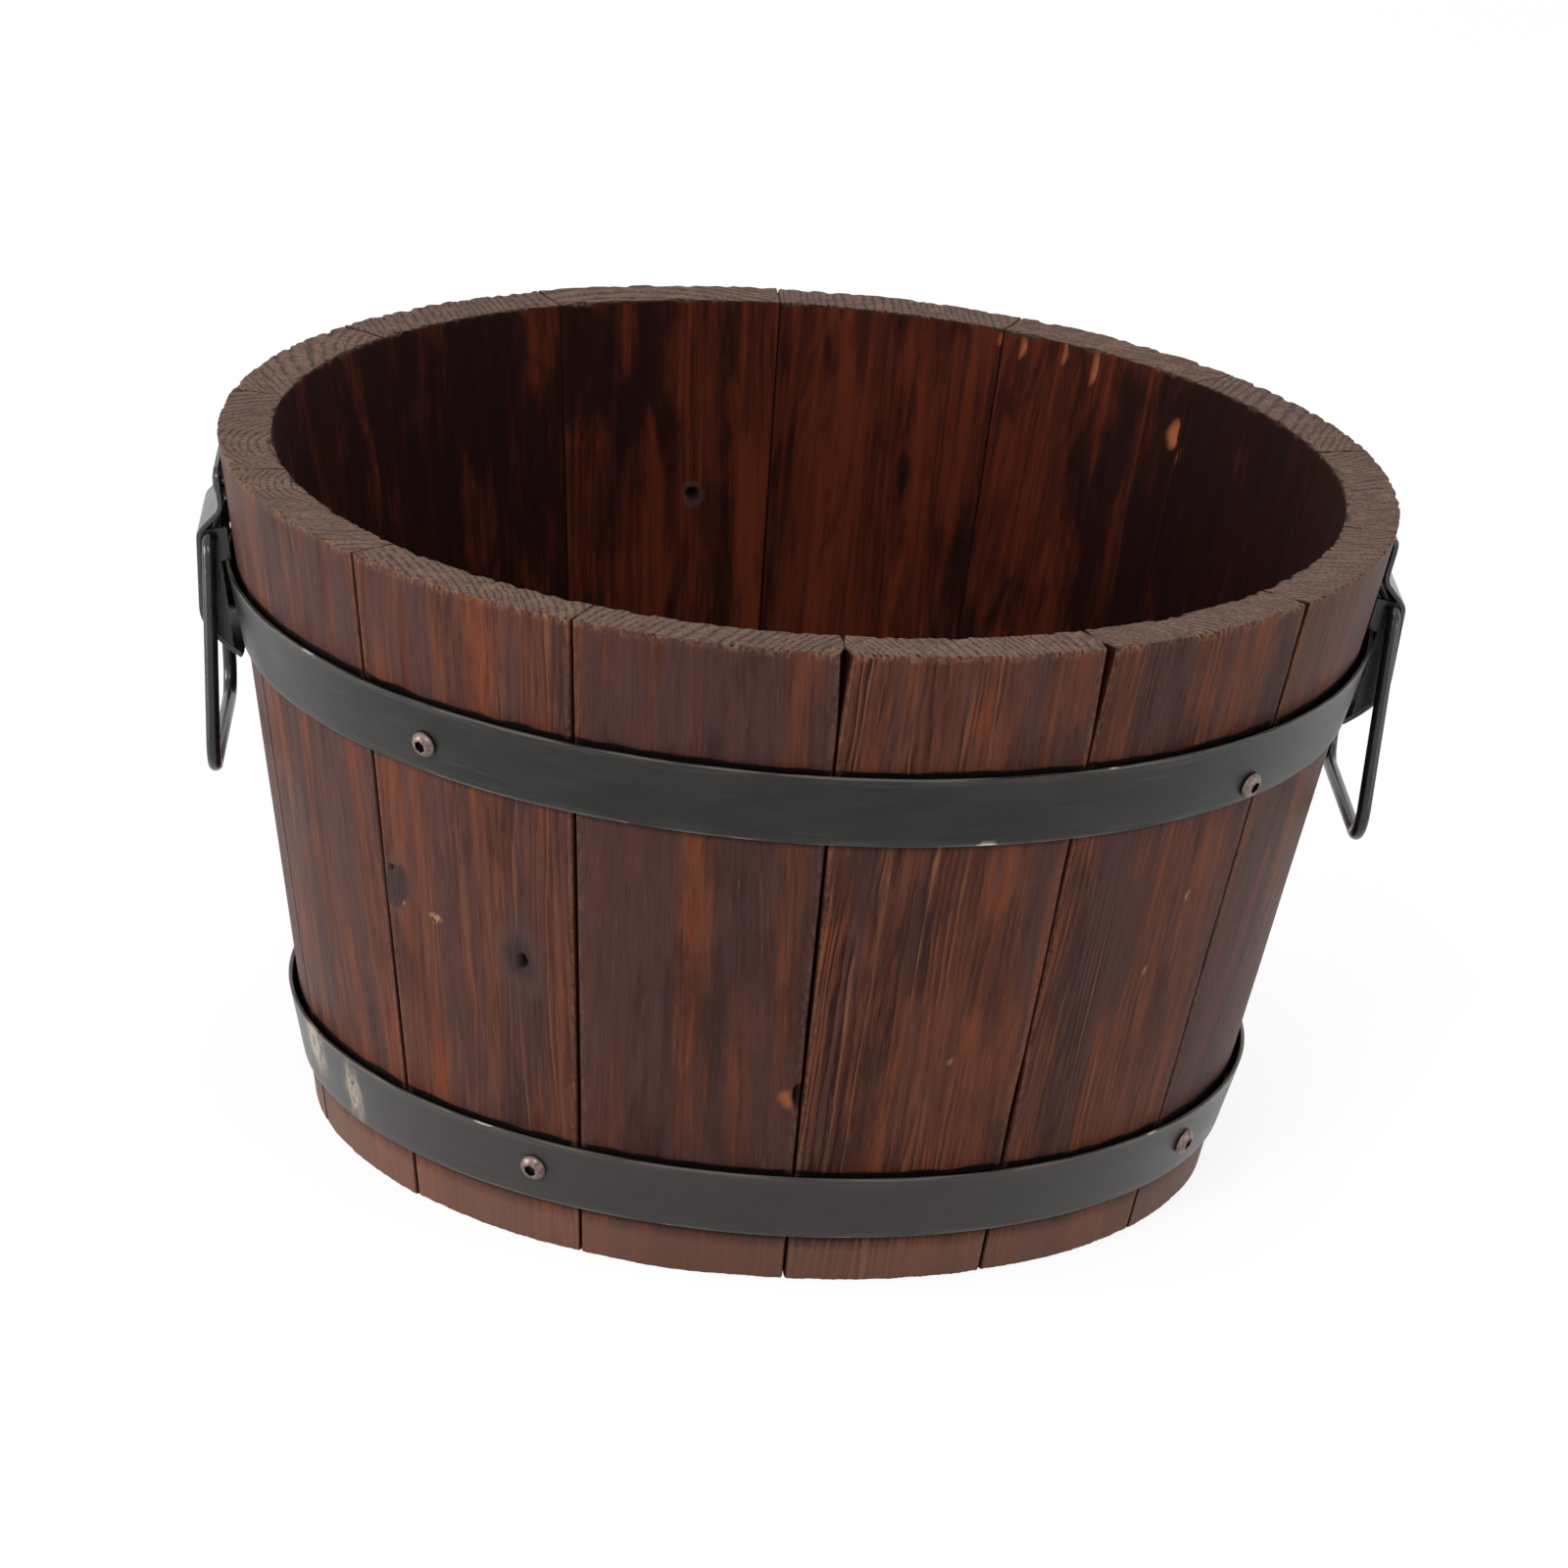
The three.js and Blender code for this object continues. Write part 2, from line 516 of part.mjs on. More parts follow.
// ---------- Base ----------
const boardPitch = (2 * baseRadius) / BOARD_COUNT;
const boardCentre = (i) => (i + 0.5) * boardPitch - baseRadius;
const battenTop = BASE_RISE - CLEARANCE;
const battenBottom = battenTop - BATTEN_THICKNESS;
const battenX = baseRadius - BATTEN_SET_IN;
const drainX = (2 * battenX - BATTEN_WIDTH) / 4;

// Battens run along Y. One screw goes up through a batten into each board.
function battenScrewFrames() {
  const frames = [];
  for (const side of [-1, 1]) {
    for (let i = 0; i < BOARD_COUNT; i++) {
      const frame = new THREE.Matrix4().makeTranslation(side * battenX, boardScrewY(i), battenBottom);
      frames.push(frame.multiply(new THREE.Matrix4().makeRotationY(Math.PI / 2)));
    }
  }
  return frames;
}

// The outermost boards are held near their straight edge, where the battens still reach them.
function boardScrewY(i) {
  const outermost = battenHalfLength() - 2 * SCREW_HEAD_RADIUS;
  return THREE.MathUtils.clamp(boardCentre(i), -outermost, outermost);
}

function battenHalfLength() {
  const room = innerWallAt(battenBottom) * Math.cos(Math.PI / facets) - BATTEN_END_GAP;
  const corner = battenX + BATTEN_WIDTH / 2;
  return Math.sqrt(room * room - corner * corner);
}

function boardOutline(i) {
  const low = boardCentre(i) - boardPitch / 2 + (i > 0 ? BOARD_GAP / 2 : 0);
  const high = boardCentre(i) + boardPitch / 2 - (i < BOARD_COUNT - 1 ? BOARD_GAP / 2 : 0);
  const from = Math.asin(THREE.MathUtils.clamp(low / baseRadius, -1, 1));
  const to = Math.asin(THREE.MathUtils.clamp(high / baseRadius, -1, 1));
  const outline = new THREE.Shape();
  outline.absarc(0, 0, baseRadius, from, to, false);
  outline.absarc(0, 0, baseRadius, Math.PI - to, Math.PI - from, false);
  return outline;
}

// A drain hole in the middle board's centre, and two in each of its neighbours.
function drainCutters() {
  const middle = (BOARD_COUNT - 1) / 2;
  const places = [[0, boardCentre(Math.floor(middle))]];
  for (const board of [Math.ceil(middle) - 1, Math.floor(middle) + 1]) {
    places.push([-drainX, boardCentre(board)], [drainX, boardCentre(board)]);
  }
  return places.map(([x, y]) => {
    const hole = new THREE.CylinderGeometry(DRAIN_RADIUS, DRAIN_RADIUS, 2 * BOARD_THICKNESS, 16);
    return toSolid(hole.rotateX(Math.PI / 2).translate(x, y, BASE_RISE + BOARD_THICKNESS / 2));
  });
}

function makeBase() {
  const group = new THREE.Group();
  const screwFrames = battenScrewFrames();
  const screwHoles = joinAll(screwFrames.map((frame) => screwCutter(BATTEN_SCREW_LENGTH, frame)));
  const drains = joinAll(drainCutters());
  for (let i = 0; i < BOARD_COUNT; i++) {
    const blank = new THREE.ExtrudeGeometry(boardOutline(i),
      { depth: BOARD_THICKNESS, bevelEnabled: false, curveSegments: 10 });
    const board = toSolid(blank.translate(0, 0, BASE_RISE)).subtract(drains).subtract(screwHoles);
    group.add(piece(`base_board_${i + 1}`, toGeometry(board), baseWood));
  }
  [-1, 1].forEach((side, i) => {
    const bar = new THREE.BoxGeometry(BATTEN_WIDTH, 2 * battenHalfLength(), BATTEN_THICKNESS);
    bar.translate(side * battenX, 0, (battenBottom + battenTop) / 2);
    group.add(piece(`base_batten_${i + 1}`, toGeometry(toSolid(bar).subtract(screwHoles)), baseWood));
  });
  screwFrames.forEach((frame, i) => group.add(piece(`base_screw_${i + 1}`, battenScrew, screwSteel, frame)));
  return group;
}

// ---------- Planter ----------
const planter = new THREE.Group();
planter.add(makeStaves(), makeBase(), makeHoops(), ...handles.map(makeHandle));

export default planter;
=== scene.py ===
import math

import bpy
import numpy as np
from mathutils import Matrix, Vector


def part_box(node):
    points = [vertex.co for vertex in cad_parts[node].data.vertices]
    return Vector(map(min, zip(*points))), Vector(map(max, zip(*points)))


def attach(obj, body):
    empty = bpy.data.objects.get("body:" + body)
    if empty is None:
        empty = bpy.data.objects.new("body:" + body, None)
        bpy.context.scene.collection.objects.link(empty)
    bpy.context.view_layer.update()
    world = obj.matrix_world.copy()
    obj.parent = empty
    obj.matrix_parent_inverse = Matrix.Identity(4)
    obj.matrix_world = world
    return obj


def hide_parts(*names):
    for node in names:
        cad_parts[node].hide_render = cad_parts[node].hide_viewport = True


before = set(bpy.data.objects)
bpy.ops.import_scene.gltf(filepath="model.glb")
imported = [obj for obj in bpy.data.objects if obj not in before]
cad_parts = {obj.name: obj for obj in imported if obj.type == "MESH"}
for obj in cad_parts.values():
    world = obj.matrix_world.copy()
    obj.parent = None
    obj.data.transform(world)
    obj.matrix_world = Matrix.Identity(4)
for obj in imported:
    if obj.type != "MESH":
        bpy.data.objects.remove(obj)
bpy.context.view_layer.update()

# ---------- Camera ----------
# The photograph is taken with a long lens from the front, a little above the rim, and the tub leans
# a few degrees to the right in it. Metres and degrees.
CAMERA_PLACE = (-0.17255, -3.08618, 1.23127)
CAMERA_AZIMUTH = -3.2
CAMERA_TILT = 70.3
CAMERA_ROLL = 4.54
CAMERA_LENS = 210.19
CAMERA_SENSOR = 36

camera_data = bpy.data.cameras.new("camera")
camera_data.lens = CAMERA_LENS
camera_data.sensor_width = CAMERA_SENSOR
camera_data.clip_end = 50
camera = bpy.data.objects.new("camera", camera_data)
bpy.context.scene.collection.objects.link(camera)
camera.matrix_world = (
    Matrix.Translation(CAMERA_PLACE)
    @ Matrix.Rotation(math.radians(CAMERA_AZIMUTH), 4, "Z")
    @ Matrix.Rotation(math.radians(CAMERA_TILT), 4, "X")
    @ Matrix.Rotation(math.radians(CAMERA_ROLL), 4, "Z")
)
bpy.context.scene.camera = camera

# ---------- Staves ----------
# Fourteen tapered softwood boards, scorched and stained dark red-brown, stood side by side in a cone.
# Each is planed, its outer corners are worn round, the saw left its ends rough, and a groove (the
# croze) runs round the inside for the base. Millimetres from here on; a stave's own axes are across
# the face, up its length, and outward through its thickness.
MM = 0.001
STAVE_COUNT = 14
STAVE_TURN = 360 / STAVE_COUNT
FIRST_STAVE_AZIMUTH = 1.5
HEIGHT = 247
FOOT_RADIUS = 161
RIM_RADIUS = 210
STAVE_THICKNESS = 19.5
CROZE_BOTTOM = 19.7
CROZE_TOP = 32.3
CROZE_DEPTH = 5
LINE_STEP_ACROSS = 1.3  # between the mesh's lines over the face
LINE_STEP_UP = 4
CORNER_STEPS = [0, 0.45, 1.0, 1.7, 2.6, 3.7]  # closer lines beside each corner
DETAIL_STEP = 0.9  # between the lines round a knot or a chip
DETAIL_REACH = 7
CLOSED_GAP = 0.02  # what is left between two staves inside the joint
INNER_GAP_SHARE = 0.4  # a joint opens less on the inside
GAP_DEPTH = 6.5  # how deep an open joint reaches from either face
CORNER_RADII = (0.45, 3.4)  # the least and the most that a corner is worn
RIM_WEAR_FROM = 236  # the rim's rough wear starts at this height
RIM_RUBBED_FROM = 243.2  # and its rubbed light edge at this one

# Joints between a stave and the next, from [height, width of the gap] in the photograph.
JOINT_GAPS = {
    9: [[0, 0.7], [100, 0.9], [235, 1.1], [247, 0.9]],
    10: [[0, 0.7], [90, 0.9], [200, 1.0], [247, 0.8]],
    11: [[0, 0.7], [45, 0.6], [70, 0.6], [88, 0.9], [105, 1.4], [135, 1.2], [175, 0.8], [214, 0.5],
         [222, 0.9], [236, 2.4], [247, 4.0]],
    12: [[0, 0.6], [45, 0.8], [62, 1.4], [75, 1.4], [88, 0.5], [130, 0.5], [170, 1.0], [198, 0.5],
         [212, 0.9], [230, 2.2], [247, 3.6]],
    13: [[0, 0.6], [150, 0.6], [228, 0.5], [240, 1.3], [247, 2.6]],
}
PLAIN_GAP = [[0, 0.8], [60, 0.6], [150, 1.0], [200, 0.6], [247, 0.6]]

# Marks of one stave each: [degrees round the tub, height, half width, half height].
KNOTS = [[-120.7, 111, 12, 18], [-137.6, 124, 9, 14]]
KNOT_HOLES = [[-120.7, 111, 1.8, 3.2], [-138.6, 130, 1.2, 1.4]]
CHIPS = [[-90.0, 72.8, 3.8, 4.2]]
CHIP_HOLES = [[-88.9, 74.5, 2.4, 5.2]]
FLECKS = [[-72, 88, 1.3, 1.4], [-48.4, 113, 1.0, 2.2], [-44.3, 140, 1.4, 3.2], [-137.0, 117.5, 1.0, 1.0],
          [-132.4, 116.5, 3.4, 1.9]]
INNER_KNOTS = [[100.8, 175, 5, 6]]
INNER_KNOT_HOLES = [[100.8, 175, 2.6, 2.6]]
INNER_CHIPS = [[66.0, 244, 1.6, 3], [63.2, 242, 1.2, 4.5], [58.0, 243, 1.5, 5], [54.0, 240, 1.3, 8],
               [41.5, 226, 3.2, 6.0], [40.0, 218, 1.1, 5]]

KNOT_RISE = 0.5
KNOT_HOLE_DEPTH = 3.4
CHIP_DEPTH = 1.3
CHIP_HOLE_DEPTH = 2.2
FLECK_DEPTH = 0.3

# One row for each stave from stave_01: the log's centre as [across, outward] from the stave's own
# middle, the width of a year's growth, how light the stave is, how much purple-grey it has, and how
# strongly its growth lines show.
LOGS = [
    [120, -60, 3.4, 1.00, 0.35, 0.6], [-90, 80, 4.0, 0.92, 0.60, 0.4], [60, 140, 3.1, 1.04, 0.30, 0.7],
    [-150, 40, 2.7, 0.95, 0.50, 0.9], [35, -90, 4.6, 1.00, 0.40, 0.5], [140, 70, 3.0, 0.90, 0.65, 0.4],
    [-70, -110, 3.7, 1.05, 0.30, 0.7], [12, -34, 3.6, 0.97, 0.45, 0.6], [-15, -24, 3.4, 1.02, 0.45, 0.45],
    [-85, 95, 2.8, 1.03, 0.30, 0.5], [150, 55, 3.8, 0.95, 0.85, 0.2], [-160, 35, 2.9, 1.08, 0.20, 1.2],
    [-120, 60, 2.4, 1.02, 0.35, 0.7], [110, -70, 3.2, 0.98, 0.55, 0.5],
]
# The hoops lie on the wood from and to these heights. Painted shade, near black, shows above each.
UNDER_HOOPS = [[18.4, 42.9], [174.2, 201.1]]
GAP_SHADE_ABOVE = 1.7
FLOOR_LIGHT_HEIGHT = 17  # painted light from the floor: lighter from the ground up to here


def new_mesh_piece(name, places, faces):
    """A smooth-shaded mesh object from its points, in millimetres, and its faces."""
    mesh = bpy.data.meshes.new(name)
    mesh.from_pydata((places * MM).tolist(), [], [list(face) for face in faces])
    mesh.shade_smooth()
    mesh.update()
    made = bpy.data.objects.new(name, mesh)
    bpy.context.scene.collection.objects.link(made)
    return made


def block_shell(first, second, third):
    """The outside of a block ruled by three lists of places: its points, and the faces between them."""
    count = (len(first), len(second), len(third))
    outside = np.ones(count, bool)
    outside[1:-1, 1:-1, 1:-1] = False
    index = np.full(count, -1)
    index[outside] = np.arange(outside.sum())
    places = np.stack(np.meshgrid(first, second, third, indexing="ij"), -1)[outside].astype(float)
    quads = []
    for axis in range(3):
        for end in (0, -1):
            side = np.take(index, end, axis)
            corners = [side[:-1, :-1], side[1:, :-1], side[1:, 1:], side[:-1, 1:]]
            if (axis == 1) != (end == 0):
                corners.reverse()
            quads.append(np.stack(corners, -1).reshape(-1, 4))
    return places, np.concatenate(quads)


def round_corners(places, low, high, radius):
    """Moves the points of a block's outside onto its rounded corners, and gives each one's way out."""
    core = np.clip(places, low + radius, high - radius)
    away = places - core
    way_out = away / np.maximum(np.linalg.norm(away, axis=1, keepdims=True), 1e-9)
    return core + way_out * radius, way_out


def uneven(places, size, seed, waves=14):
    """A smooth value of about -1 to 1 at each point. Its bumps are about `size` long in each direction."""
    draw = np.random.default_rng(seed)
    ways = draw.normal(size=(waves, places.shape[1])) * 2.2 / np.array(size)
    starts = draw.uniform(0, 2 * math.pi, waves)
    return np.sin(places @ ways.T + starts).sum(1) / math.sqrt(waves / 2) * 0.7


def ruled(length, step, corner_steps, fine=()):
    """Places along a length: close beside both ends, closer in each (from, to, step) of `fine`."""
    middle_start = corner_steps[-1]
    steps = max(2, round((length - 2 * middle_start) / step))
    lines = list(corner_steps) + [length - x for x in corner_steps]
    lines += list(np.linspace(middle_start, length - middle_start, steps + 1))
    for start, stop, fine_step in fine:
        start, stop = max(start, middle_start), min(stop, length - middle_start)
        lines = [x for x in lines if not start < x < stop]
        lines += list(np.arange(start, stop, fine_step))
    lines = sorted(lines)
    return np.array([x for i, x in enumerate(lines) if i == 0 or x - lines[i - 1] > step / 30])


def add_values(piece, **values):
    """Stores a value, or a row of three, for each point of a mesh, for its material to read."""
    for name, value in values.items():
        kind = "FLOAT_VECTOR" if value.ndim == 2 else "FLOAT"
        stored = piece.data.attributes.new(name, kind, "POINT")
        stored.data.foreach_set("vector" if value.ndim == 2 else "value", value.astype(np.float32).ravel())


WALL_SLOPE = math.atan((RIM_RADIUS - FOOT_RADIUS) / HEIGHT)


def wall_radius(height):
    return FOOT_RADIUS + (RIM_RADIUS - FOOT_RADIUS) * height / HEIGHT


def stave_azimuth(number):
    return FIRST_STAVE_AZIMUTH + (number - 1) * STAVE_TURN


def from_stave_middle(number, azimuth):
    """Degrees from a stave's middle line to an azimuth, the short way round."""
    return (azimuth - stave_azimuth(number) + 180) % 360 - 180


def marks_on(number, marks):
    return [m for m in marks if abs(from_stave_middle(number, m[0])) < STAVE_TURN / 2 + 1]


def nearness(number, places, marks, inside=False):
    """How near each point is to the middle of the nearest mark: 1 there, and 0 at the mark's edge."""
    near = np.zeros(len(places))
    for azimuth, height, half_width, half_height in marks_on(number, marks):
        radius = wall_radius(height) - (STAVE_THICKNESS if inside else 0)
        across = math.radians(from_stave_middle(number, azimuth)) * radius
        reach = np.hypot((places[:, 0] - across) / half_width, (places[:, 1] - height) / half_height)
        reach += 0.13 * uneven(places[:, :2], (half_width, half_height), 60 + number)
        near = np.maximum(near, np.clip(1 - reach, 0, 1))
    return near


def joint_gap(number, height):
    profile = np.array(JOINT_GAPS.get((number - 1) % STAVE_COUNT + 1, PLAIN_GAP), float)
    return np.interp(height, profile[:, 0], profile[:, 1])


def growth_rings(places, number):
    """How many years of growth lie between the log's centre and each point of a stave."""
    centre_across, centre_out, year = LOGS[number - 1][:3]
    across = places[:, 0] - centre_across - 0.02 * places[:, 1] * (-1) ** number
    out = places[:, 2] - STAVE_THICKNESS / 2 - centre_out + 3 * np.sin(places[:, 1] / 90 + number)
    from_centre = np.hypot(across, out)
    for _, height, half_width, half_height in marks_on(number, KNOTS):
        knot = nearness(number, places, [m for m in KNOTS if m[1] == height])
        from_centre = from_centre + 9 * knot ** 2
    bent = 0.5 * uneven(places, (60, 160, 60), 40 + number)
    return from_centre / year + 0.9 * np.sin(from_centre / 9 + number) + bent


def make_stave(number):
    log = LOGS[number - 1]
    marks = KNOTS + KNOT_HOLES + CHIPS + CHIP_HOLES + FLECKS + INNER_KNOTS + INNER_KNOT_HOLES + INNER_CHIPS
    close_up = [(m[1] - DETAIL_REACH, m[1] + DETAIL_REACH, DETAIL_STEP) for m in marks_on(number, marks)]
    close_up.append((CROZE_BOTTOM - 1, CROZE_BOTTOM + 1, 0.25))
    close_up.append((CROZE_TOP - 1, CROZE_TOP + 1, 0.25))
    close_up += [(top - 1, top + GAP_SHADE_ABOVE + 1, 0.5) for _, top in UNDER_HOOPS]
    full_width = math.radians(STAVE_TURN) * RIM_RADIUS
    shares = ruled(full_width, LINE_STEP_ACROSS, CORNER_STEPS) / full_width * 2 - 1
    ups = ruled(HEIGHT, LINE_STEP_UP, CORNER_STEPS, close_up)
    outs = ruled(STAVE_THICKNESS, LINE_STEP_ACROSS, CORNER_STEPS)
    places, quads = block_shell(shares, ups, outs)

    # Half the width at each point's height and depth, less half the gap to the neighbour.
    share, up, out = places.T
    radius = wall_radius(up) - STAVE_THICKNESS + out
    gap = np.where(share > 0, joint_gap(number, up), joint_gap(number - 1, up))
    from_face = np.minimum(out, STAVE_THICKNESS - out)
    opened = np.clip(1 - from_face / GAP_DEPTH, 0, 1) ** 0.7
    opened *= np.where(out < STAVE_THICKNESS / 2, INNER_GAP_SHARE, 1)
    gap = CLOSED_GAP + np.maximum(gap - CLOSED_GAP, 0) * opened
    half_width = math.radians(STAVE_TURN / 2) * radius - gap / 2
    places[:, 0] = share * half_width

    # Worn corners: a little at the joints and the foot, more and rougher round the rim.
    in_croze = (up > CROZE_BOTTOM) & (up < CROZE_TOP)
    low = np.stack([-half_width, 0 * up, np.where(in_croze, CROZE_DEPTH, 0)], 1)
    places[:, 2] = np.where(in_croze & (out < CROZE_DEPTH), CROZE_DEPTH, out)
    high = np.stack([half_width, 0 * up + HEIGHT, 0 * up + STAVE_THICKNESS], 1)
    at_rim = np.clip((up - RIM_WEAR_FROM) / (HEIGHT - RIM_WEAR_FROM), 0, 1)
    wear = 0.9 + 0.3 * uneven(places, (25, 60, 20), number)
    rough_rim = np.clip(0.5 + 0.6 * uneven(places * [1, 0, 1], (3, 1, 9), 70 + number), 0, 1)
    off_joint = np.clip((half_width - np.abs(places[:, 0])) / 5, 0, 1)
    wear += at_rim * (2.0 * rough_rim ** 3 * off_joint - 0.35)
    places, way_out = round_corners(places, low, high, np.clip(wear, *CORNER_RADII)[:, None])

    # Relief: the soft spring wood has worn back between the hard lines, and the saw tore the ends.
    rings = growth_rings(places, number)
    year = rings % 1
    ridge = np.exp(-((year - 0.8) / 0.13) ** 2)
    end = np.abs(way_out[:, 1])
    outer = np.clip(way_out[:, 2], 0, 1)
    inner = np.clip(-way_out[:, 2], 0, 1)
    face = outer + inner
    relief = face * (0.14 * log[5] * ridge - 0.14 + 0.22 * uneven(places, (30, 120, 30), 90 + number))
    relief += end * (0.14 * ridge - 0.22 + 0.14 * uneven(places, (5, 9, 5), 120 + number))

    def marked(outer_marks, inner_marks=()):
        on_outside = nearness(number, places, outer_marks) * outer
        return on_outside + nearness(number, places, inner_marks, True) * inner

    knot = marked(KNOTS, INNER_KNOTS)
    hole = marked(KNOT_HOLES, INNER_KNOT_HOLES)
    chip = marked(CHIPS, INNER_CHIPS)
    chip_hole = marked(CHIP_HOLES)
    fleck = marked(FLECKS)
    relief += KNOT_RISE * knot - FLECK_DEPTH * fleck
    for mark, depth in ((hole, KNOT_HOLE_DEPTH), (chip, CHIP_DEPTH), (chip_hole, CHIP_HOLE_DEPTH)):
        relief -= depth * np.clip(mark * 2, 0, 1)
    places = places + way_out * np.minimum(relief, 0.1)[:, None]

    board = places + np.array([410.0 * number, 130.0 * number, 70.0 * number])
    angle = math.radians(stave_azimuth(number)) + places[:, 0] / radius
    reach = wall_radius(places[:, 1]) - STAVE_THICKNESS + places[:, 2] - 0.12
    round_tub = np.stack([reach * np.cos(angle), reach * np.sin(angle), places[:, 1]], 1)
    round_tub[:, 2] = np.clip(round_tub[:, 2], 0.02, HEIGHT - 0.02)
    piece = new_mesh_piece(f"wood_stave_{number:02d}", round_tub, quads)

    edge_of_face = np.clip(1 - (half_width - np.abs(places[:, 0])) / 3, 0, 1) * outer
    near_rim = np.clip((places[:, 1] - RIM_RUBBED_FROM) / 3, 0, 1) * (1 - inner)
    # Painted shade: near black from under each hoop to just above it, for the shadowed gap behind its upper
    # edge.
    gap_shade = 0 * up
    for bottom, top in UNDER_HOOPS:
        shade_top = top + GAP_SHADE_ABOVE + 0.35 * uneven(places, (9, 400, 9), 150 + number)
        gap_shade += outer * (places[:, 1] > bottom - 0.5) * np.clip((shade_top - places[:, 1]) / 0.5, 0, 1)
    add_values(
        piece, board=board, rings=rings, end=np.clip(end * 1.3, 0, 1), inside=inner ** 0.5,
        worn=np.clip(0.5 * edge_of_face + near_rim * (0.4 + 0.6 * rough_rim), 0, 1),
        joint=np.clip(np.abs(way_out[:, 0]) * 1.6 - 0.6, 0, 1),
        tone=0 * up + log[3], grey=0 * up + log[4],
        lines=log[5] * np.clip(0.7 - 0.02 * places[:, 0] * (1 if number // 2 % 2 == 0 else -1), 0.1, 1.2),
        # painted shade: the inside is darker towards the right side, and less towards the left
        stain=np.clip(2.5 * np.cos(angle) - 1.4, 0, 1) + np.clip(-np.cos(angle) - 0.1, 0, 0.55),
        paint=np.clip(gap_shade, 0, 1),
        # painted light from the floor: the outside is painted lighter near the foot
        dust=np.clip((FLOOR_LIGHT_HEIGHT - places[:, 1]) / 5, 0, 1) * outer,
        knot=np.clip(knot * 1.6, 0, 1),
        # painted shade: knot and chip holes are painted near black
        hole=np.clip(2.2 * np.maximum(hole, chip_hole), 0, 1),
        raw=np.clip(2.5 * chip, 0, 1), fleck=np.clip(2.5 * fleck, 0, 1),
    )
    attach(piece, "tub")
    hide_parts(f"stave_{number:02d}")
    return piece


def colour(red, green, blue):
    """A colour written as it looks on a screen, 0 to 255, for a shader."""
    shares = [value / 255 for value in (red, green, blue)]
    return tuple(x / 12.92 if x < 11 / 255 else ((x + 0.055) / 1.055) ** 2.4 for x in shares) + (1,)


class Finish:
    """A material under construction. Each method adds a shader node and gives back what it puts out."""

    def __init__(self, name):
        self.material = bpy.data.materials.new(name)
        self.material.use_nodes = True
        self.tree = self.material.node_tree
        self.tree.nodes.clear()

    def add(self, kind, inputs, **settings):
        made = self.tree.nodes.new("ShaderNode" + kind)
        for name, value in settings.items():
            setattr(made, name, value)
        for name, value in inputs.items():
            if isinstance(value, bpy.types.NodeSocket):
                self.tree.links.new(value, made.inputs[name])
            else:
                made.inputs[name].default_value = value
        return made

    def value(self, name):
        return self.add("Attribute", {}, attribute_name=name).outputs["Fac"]

    def place(self, name):
        return self.add("Attribute", {}, attribute_name=name).outputs["Vector"]

    def object_place(self):
        return self.add("TexCoord", {}).outputs["Object"]

    def calc(self, operation, first, second=0.0, third=0.0):
        return self.add("Math", {0: first, 1: second, 2: third}, operation=operation).outputs[0]

    def times(self, first, second):
        return self.calc("MULTIPLY", first, second)

    def stretch(self, place, sizes):
        """Measures a place in bumps of the given sizes."""
        scale = tuple(1 / s for s in sizes)
        return self.add("VectorMath", {0: place, 1: scale}, operation="MULTIPLY").outputs[0]

    def noise(self, place, sizes, detail=3.0, rough=0.5, warp=0.0):
        inputs = {"Vector": self.stretch(place, sizes), "Scale": 1.0, "Detail": detail, "Roughness": rough,
                  "Distortion": warp}
        return self.add("TexNoise", inputs).outputs["Fac"]

    def ramp(self, value, low, high):
        """0 below low, 1 above high, and smooth between them."""
        inputs = {"Value": value, "From Min": low, "From Max": high}
        return self.add("MapRange", inputs, interpolation_type="SMOOTHSTEP").outputs[0]

    def mix(self, share, first, second, most=1.0, way="MIX"):
        """Takes `share` of the second colour, times `most`, over the first."""
        if most < 1:
            share = self.times(share, most)
        made = self.add("Mix", {"Factor": share, 6: first, 7: second}, data_type="RGBA", blend_type=way)
        return made.outputs[2]

    def bump(self, height, distance):
        inputs = {"Height": height, "Distance": distance * MM, "Strength": 1.0}
        return self.add("Bump", inputs).outputs["Normal"]

    def surface(self, base, rough, bump, specular, metallic=0.0):
        """The Principled shader that ends the material."""
        inputs = {"Base Color": base, "Roughness": rough, "Normal": bump, "Specular IOR Level": specular,
                  "Metallic": metallic}
        shader = self.add("BsdfPrincipled", inputs)
        self.add("OutputMaterial", {"Surface": shader.outputs[0]})
        return self.material


